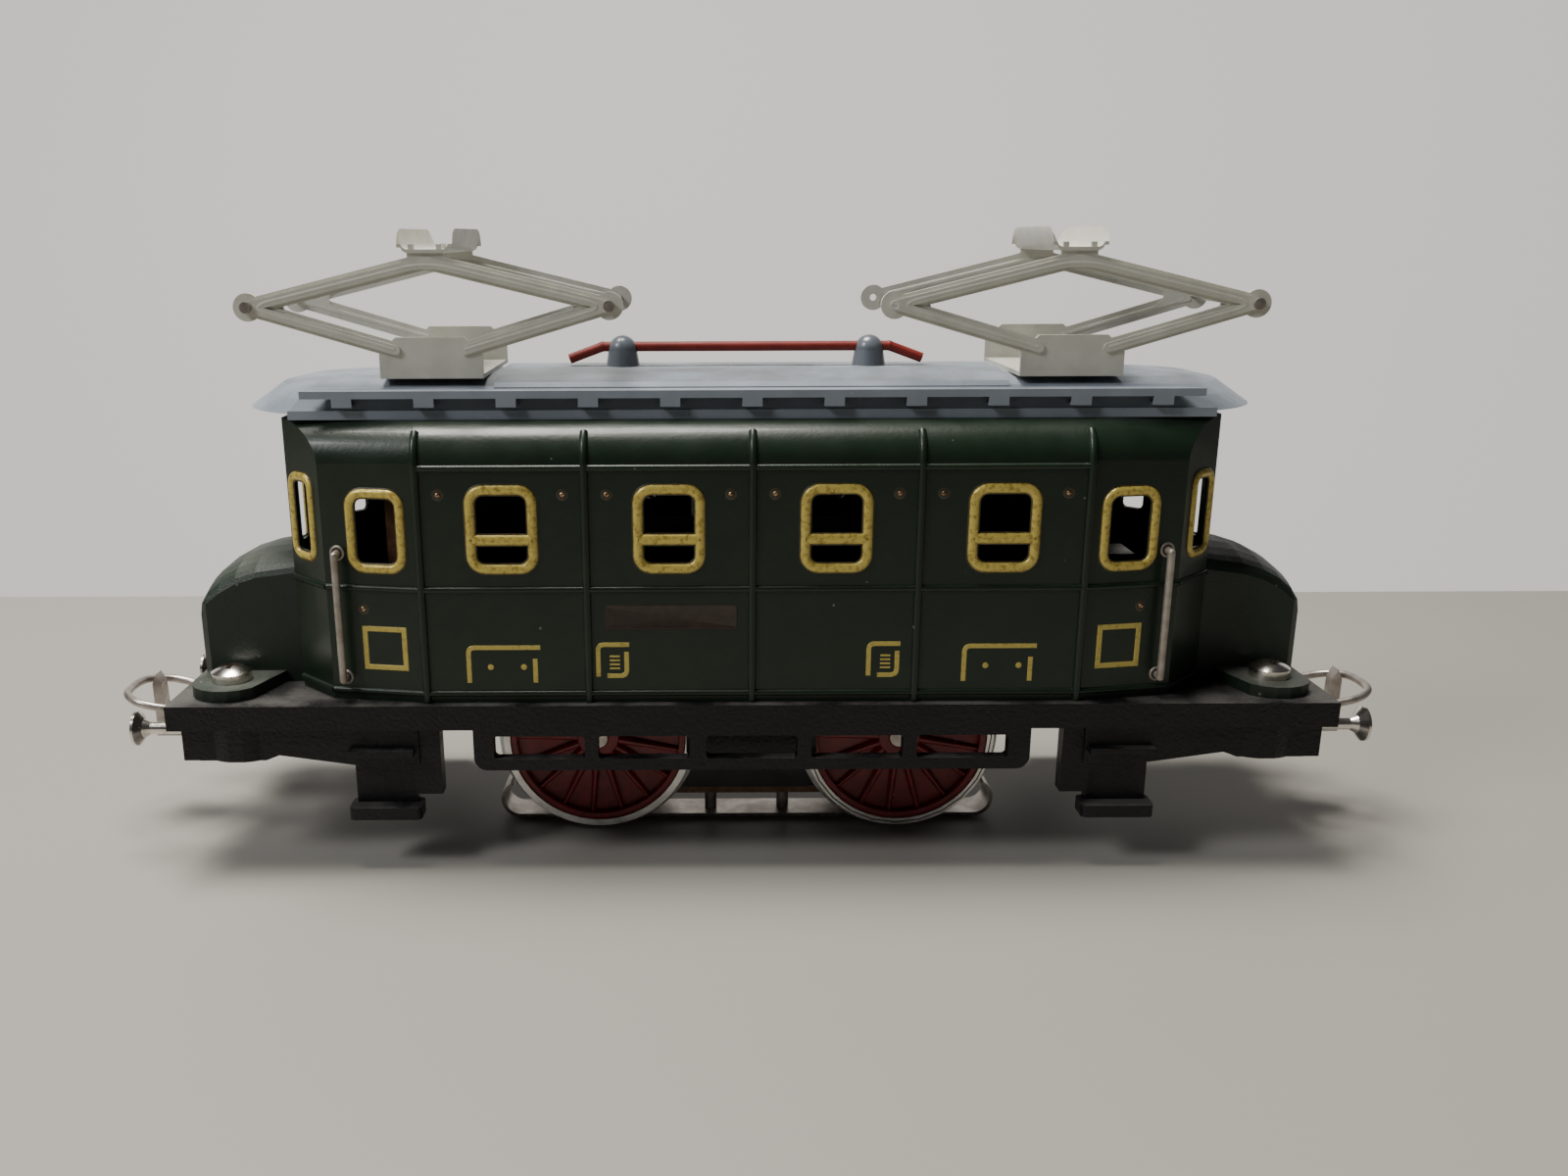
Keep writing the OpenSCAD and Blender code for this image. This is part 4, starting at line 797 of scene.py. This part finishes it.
class LOCO_OT_loops(bpy.types.Operator):
    """Bent wire coupling loops with their two eyes"""
    bl_idname = "loco.loops"
    bl_label = "Coupling loops"

    def execute(self, context):
        radius = context.scene.loco_sizes.wire
        tilt = math.radians(12)
        for e, name in ((-1, "left"), (1, "right")):
            bm = bmesh.new()
            outline = [(0.6, -4.2), (1.2, -4.3), (3.6, -6.7), (8.3, -6.7), (11.2, -4.2), (11.75, 0), (11.2, 4.2), (8.3, 6.7),
                       (3.6, 6.7), (1.2, 4.3), (0.6, 4.2)]
            path = round_path(outline, 2.2, 6)
            points = []
            for q in path:
                x, z = q.x * MM, 0.6 * MM
                x, z = x * math.cos(tilt) - z * math.sin(tilt), x * math.sin(tilt) + z * math.cos(tilt)
                points.append(Vector((e * (90 * MM + x), q.y * MM, 18.8 * MM + z)))
            tube(bm, points, radius, 14, up=Vector((-e * math.sin(tilt), 0, math.cos(tilt))))
            for y in SIDES:
                coil = [Vector((e * 90 * MM + math.cos(t) * 0.86 * MM, y * 4.2 * MM, 18.8 * MM + math.sin(t) * 0.86 * MM))
                        for t in (k * math.tau / 20 for k in range(20))]
                tube(bm, coil, 0.3 * MM, 10, flat=2.0, closed=True, up=Vector((0, 1, 0)))
            new_object(f"coupling_loop_wire_{name}", mesh_of(f"coupling_loop_wire_{name}", bm, FINISHES["steel"], 50),
                       body=f"loop_{name}", slot="steel", replaces=(f"coupling_loop_{name}",))
        return {"FINISHED"}


class LOCO_OT_pantographs(bpy.types.Operator):
    """Half-round ridges pressed along the pantograph frames, the webs at their knees, and splayed collector pans"""
    bl_idname = "loco.pantographs"
    bl_label = "Pantographs"

    def execute(self, context):
        for e, name in ((-1, "left"), (1, "right")):
            middle = e * 46.5
            bm = bmesh.new()
            for s in SIDES:
                outline = [(-5.2, 77.3), (-26, 83.3), (0, 89.5), (26, 83.3), (5.2, 77.3)]
                path = round_path(outline, 3.6, 8)
                points = [Vector(((middle + q.x) * MM, s * 12.75 * MM, q.y * MM)) for q in path]
                tube(bm, points, 0.62 * MM, 14, up=Vector((0, 1, 0)))
                for end in (points[0], points[-1]):
                    bmesh.ops.create_uvsphere(bm, u_segments=14, v_segments=8, radius=0.62 * MM,
                                              matrix=Matrix.Translation(end))
                for side in SIDES:
                    web = [(25.2, 82.6), (18.6, 81.35), (19.9, 82.0), (20.6, 82.6), (20.9, 83.3), (20.6, 84.0),
                           (19.8, 84.4), (18.2, 84.95), (25.2, 84.0)]
                    rows = [[bm.verts.new(((middle + side * x) * MM, s * y * MM, z * MM)) for x, z in web]
                            for y in (12.15, 12.6)]
                    for row in rows:
                        bm.faces.new(row)
                    for k in range(len(web)):
                        j = (k + 1) % len(web)
                        bm.faces.new((rows[0][k], rows[0][j], rows[1][j], rows[1][k]))
            new_object(f"pantograph_ridges_{name}", mesh_of(f"pantograph_ridges_{name}", bm, FINISHES["panto_grey"], 50),
                       slot="panto_grey")
            self.collector(name, middle)
        return {"FINISHED"}

    def collector(self, name, middle):
        """One pan: a flat strip across the top with two long walls that lean out, their corners rounded off."""
        bm = bmesh.new()
        floor_z, thick = 90.75, 0.5
        half = [(2.6, 0), (3.1, 0.25), (3.4, 0.8), (3.95, 2.85)]
        flat = [(-x, z) for x, z in reversed(half)] + half
        profile = [Vector(p) for p in flat]
        rows = []
        for k in range(33):
            y = -13.2 + 26.4 * k / 32
            low = max(0.0, abs(y) - 9.6) / 3.6
            top = 0.75 + 2.1 * math.sqrt(max(0.0, 1 - low * low)) if low < 1 else 0.75
            ring = []
            for lift in (0, thick):
                for p in profile:
                    ring.append(bm.verts.new(((middle + p.x) * MM, y * MM, (floor_z + min(p.y, top) + lift) * MM)))
            rows.append(ring)
        n = len(profile)
        loop = list(range(n)) + list(range(2 * n - 1, n - 1, -1))
        for a, b in zip(rows, rows[1:]):
            for k in range(len(loop)):
                i, j = loop[k], loop[(k + 1) % len(loop)]
                bm.faces.new((a[i], a[j], b[j], b[i]))
        for ring in (rows[0], rows[-1]):
            bm.faces.new([ring[i] for i in loop])
        new_object(f"collector_pan_{name}", mesh_of(f"collector_pan_{name}", bm, FINISHES["panto_grey"], 40),
                   slot="panto_grey", replaces=(f"collector_{name}",))


class LOCO_OT_leaf(bpy.types.Operator):
    """The pickup's leaf springs, copied from the imported spring into a piece of their own"""
    bl_idname = "loco.leaf"
    bl_label = "Pickup leaf"

    def execute(self, context):
        node = NODES["pickup_spring"]
        mesh = node.data.copy()
        mesh.name = "pickup_leaf"
        mesh.transform(node.matrix_world)
        piece = new_object("pickup_leaf", mesh, slot="steel", replaces=("pickup_spring",))
        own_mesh(piece)
        return {"FINISHED"}


class LOCO_OT_recesses(bpy.types.Operator):
    """A dark cross laid in each hood screw's recess: painted shade for the hollow of the cross"""
    bl_idname = "loco.recesses"
    bl_label = "Screw recesses"

    def execute(self, context):
        bm = bmesh.new()
        # Painted shade: two thin dark bars crossed in each screw head's recess, in the dark rubber finish.
        for e in SIDES:
            for s in SIDES:
                place = Matrix.Translation(Vector((e * 79.2, s * 15.3, SCREW_TOP)) * MM)
                for turn in (0, 90):
                    size = Matrix.Diagonal((2.96 * MM, 0.74 * MM, 0.12 * MM, 1))
                    bmesh.ops.create_cube(bm, size=1, matrix=place @ Matrix.Rotation(math.radians(turn), 4, "Z") @ size)
        new_object("screw_recess_shade", mesh_of("screw_recess_shade", bm, FINISHES["traction"]), slot="nickel")
        return {"FINISHED"}


class LOCO_OT_wheels(bpy.types.Operator):
    """Cast spoked wheel centres, and the dark traction bands on one wheelset"""
    bl_idname = "loco.wheels"
    bl_label = "Wheels"

    def execute(self, context):
        count = context.scene.loco_sizes.spokes
        tree = shape_tree("Spoked wheel", {
            "Spokes": 17, "Hub": 0.0028, "Spoke length": 0.0104, "Spoke root": 0.00072, "Spoke tip": 0.00042,
            "Web": 0.0006, "Rim": 0.01345, "Rim width": 0.0011, "Depth": 0.0024, "Boss": 0.0024, "Boss width": 0.0018,
            "Boss depth": 0.0028}, draw_wheel)
        band = shape_tree("Traction band", {"Radius": 0.01462, "Wire": 0.00012, "Height": 0.00008}, draw_ring)
        for name, x in (("left", -24), ("right", 24)):
            places = [(Vector((x * MM, s * 8.4 * MM, 16 * MM)), turn_of(wall("side", 1, s))) for s in SIDES]
            grow(f"spoked_wheels_{name}", tree, places, FINISHES["wheel_red"], {"Spokes": count}, smooth=45,
                 body=f"wheelset_{name}", slot="wheel_red", replaces=(f"wheel_{name}_near", f"wheel_{name}_far"))
        places = [(Vector((24 * MM, s * 9.76 * MM, 16 * MM)), turn_of(wall("side", 1, s))) for s in SIDES]
        grow("traction_bands", band, places, FINISHES["traction"], body="wheelset_right", slot="tyre_steel")
        return {"FINISHED"}


class LOCO_OT_stage(bpy.types.Operator):
    """A plain pale floor and backdrop, soft lights and the camera"""
    bl_idname = "loco.stage"
    bl_label = "Stage"

    def execute(self, context):
        scene = context.scene
        lens = bpy.data.cameras.new("Camera")
        lens.sensor_width = 36
        lens.lens = 30.817
        lens.shift_x = 0.05293
        lens.shift_y = 0.01835
        lens.clip_start = 0.01
        lens.clip_end = 10
        camera = bpy.data.objects.new("Camera", lens)
        camera.location = (-0.00743, -0.21024, 0.0927)
        camera.rotation_euler = [math.radians(a) for a in (74.2249, 0.2233, -0.0391)]
        scene.collection.objects.link(camera)
        scene.camera = camera
        bm = bmesh.new()
        for profile in ([(-1.2, 0), (0.141, 0)], [(1.0, -0.4), (1.0, 0.75)]):
            rows = [[bm.verts.new((x, y, z - 0.0002)) for y, z in profile] for x in (-1.2, 1.2)]
            bm.faces.new((rows[0][0], rows[1][0], rows[1][1], rows[0][1]))
        floor = bpy.data.meshes.new("floor")
        bm.to_mesh(floor)
        bm.free()
        for name, tone in (("Floor", (0.30, 0.29, 0.26)), ("Backdrop", (0.60, 0.58, 0.55))):
            material = bpy.data.materials.new(name)
            material.use_nodes = True
            shader = next(n for n in material.node_tree.nodes if n.type == "BSDF_PRINCIPLED")
            shader.inputs["Base Color"].default_value = rgb(tone)
            shader.inputs["Roughness"].default_value = 0.55
            if name == "Backdrop":
                shader.inputs["Emission Color"].default_value = (1.0, 0.965, 0.92, 1)
                shader.inputs["Emission Strength"].default_value = 0.68
            floor.materials.append(material)
        for face in floor.polygons:
            face.material_index = face.index
        table = bpy.data.objects.new("floor", floor)
        scene.collection.objects.link(table)
        for name, place, aim, size, power, tone in (
                ("Key", (-0.14, 0.06, 0.72), (-0.03, -0.03, 0), 0.30, 10.0, (1.0, 0.96, 0.90)),
                ("Window", (-0.54, -0.32, 0.56), (-0.03, 0, 0.05), 0.20, 3.2, (0.98, 0.98, 1.0))):
            data = bpy.data.lights.new(name, "AREA")
            data.size = size
            data.energy = power
            data.color = tone
            light = bpy.data.objects.new(name, data)
            light.location = place
            light.rotation_euler = (Vector(aim) - Vector(place)).to_track_quat("-Z", "Y").to_euler()
            scene.collection.objects.link(light)
        world = bpy.data.worlds.new("Soft room")
        world.use_nodes = True
        world.node_tree.nodes["Background"].inputs["Color"].default_value = (0.80, 0.82, 0.85, 1)
        world.node_tree.nodes["Background"].inputs["Strength"].default_value = 0.06
        scene.world = world
        return {"FINISHED"}


OPERATORS = (LOCO_OT_finishes, LOCO_OT_windows, LOCO_OT_rivets, LOCO_OT_lining, LOCO_OT_plates, LOCO_OT_eyelets,
             LOCO_OT_loops, LOCO_OT_pantographs, LOCO_OT_leaf, LOCO_OT_recesses, LOCO_OT_wheels, LOCO_OT_stage)


class LOCO_PT_panel(bpy.types.Panel):
    """Lists the locomotive's settings and the pieces that can be built"""
    bl_idname = "LOCO_PT_panel"
    bl_label = "Locomotive"
    bl_space_type = "VIEW_3D"
    bl_region_type = "UI"
    bl_category = "Locomotive"

    def draw(self, context):
        for group in (context.scene.loco_sizes, context.scene.loco_colours):
            box = self.layout.box()
            for key in group.__annotations__:
                box.prop(group, key)
        for operator in OPERATORS:
            self.layout.operator(operator.bl_idname)


CLASSES = (LocoSizes, LocoColours) + OPERATORS + (LOCO_PT_panel,)


def register():
    for cls in CLASSES:
        bpy.utils.register_class(cls)
    bpy.types.Scene.loco_sizes = PointerProperty(type=LocoSizes)
    bpy.types.Scene.loco_colours = PointerProperty(type=LocoColours)


def unregister():
    del bpy.types.Scene.loco_colours
    del bpy.types.Scene.loco_sizes
    for cls in reversed(CLASSES):
        bpy.utils.unregister_class(cls)


def main():
    register()
    for operator in OPERATORS:
        getattr(bpy.ops.loco, operator.bl_idname.split(".")[1])()


if __name__ == "__main__":
    main()
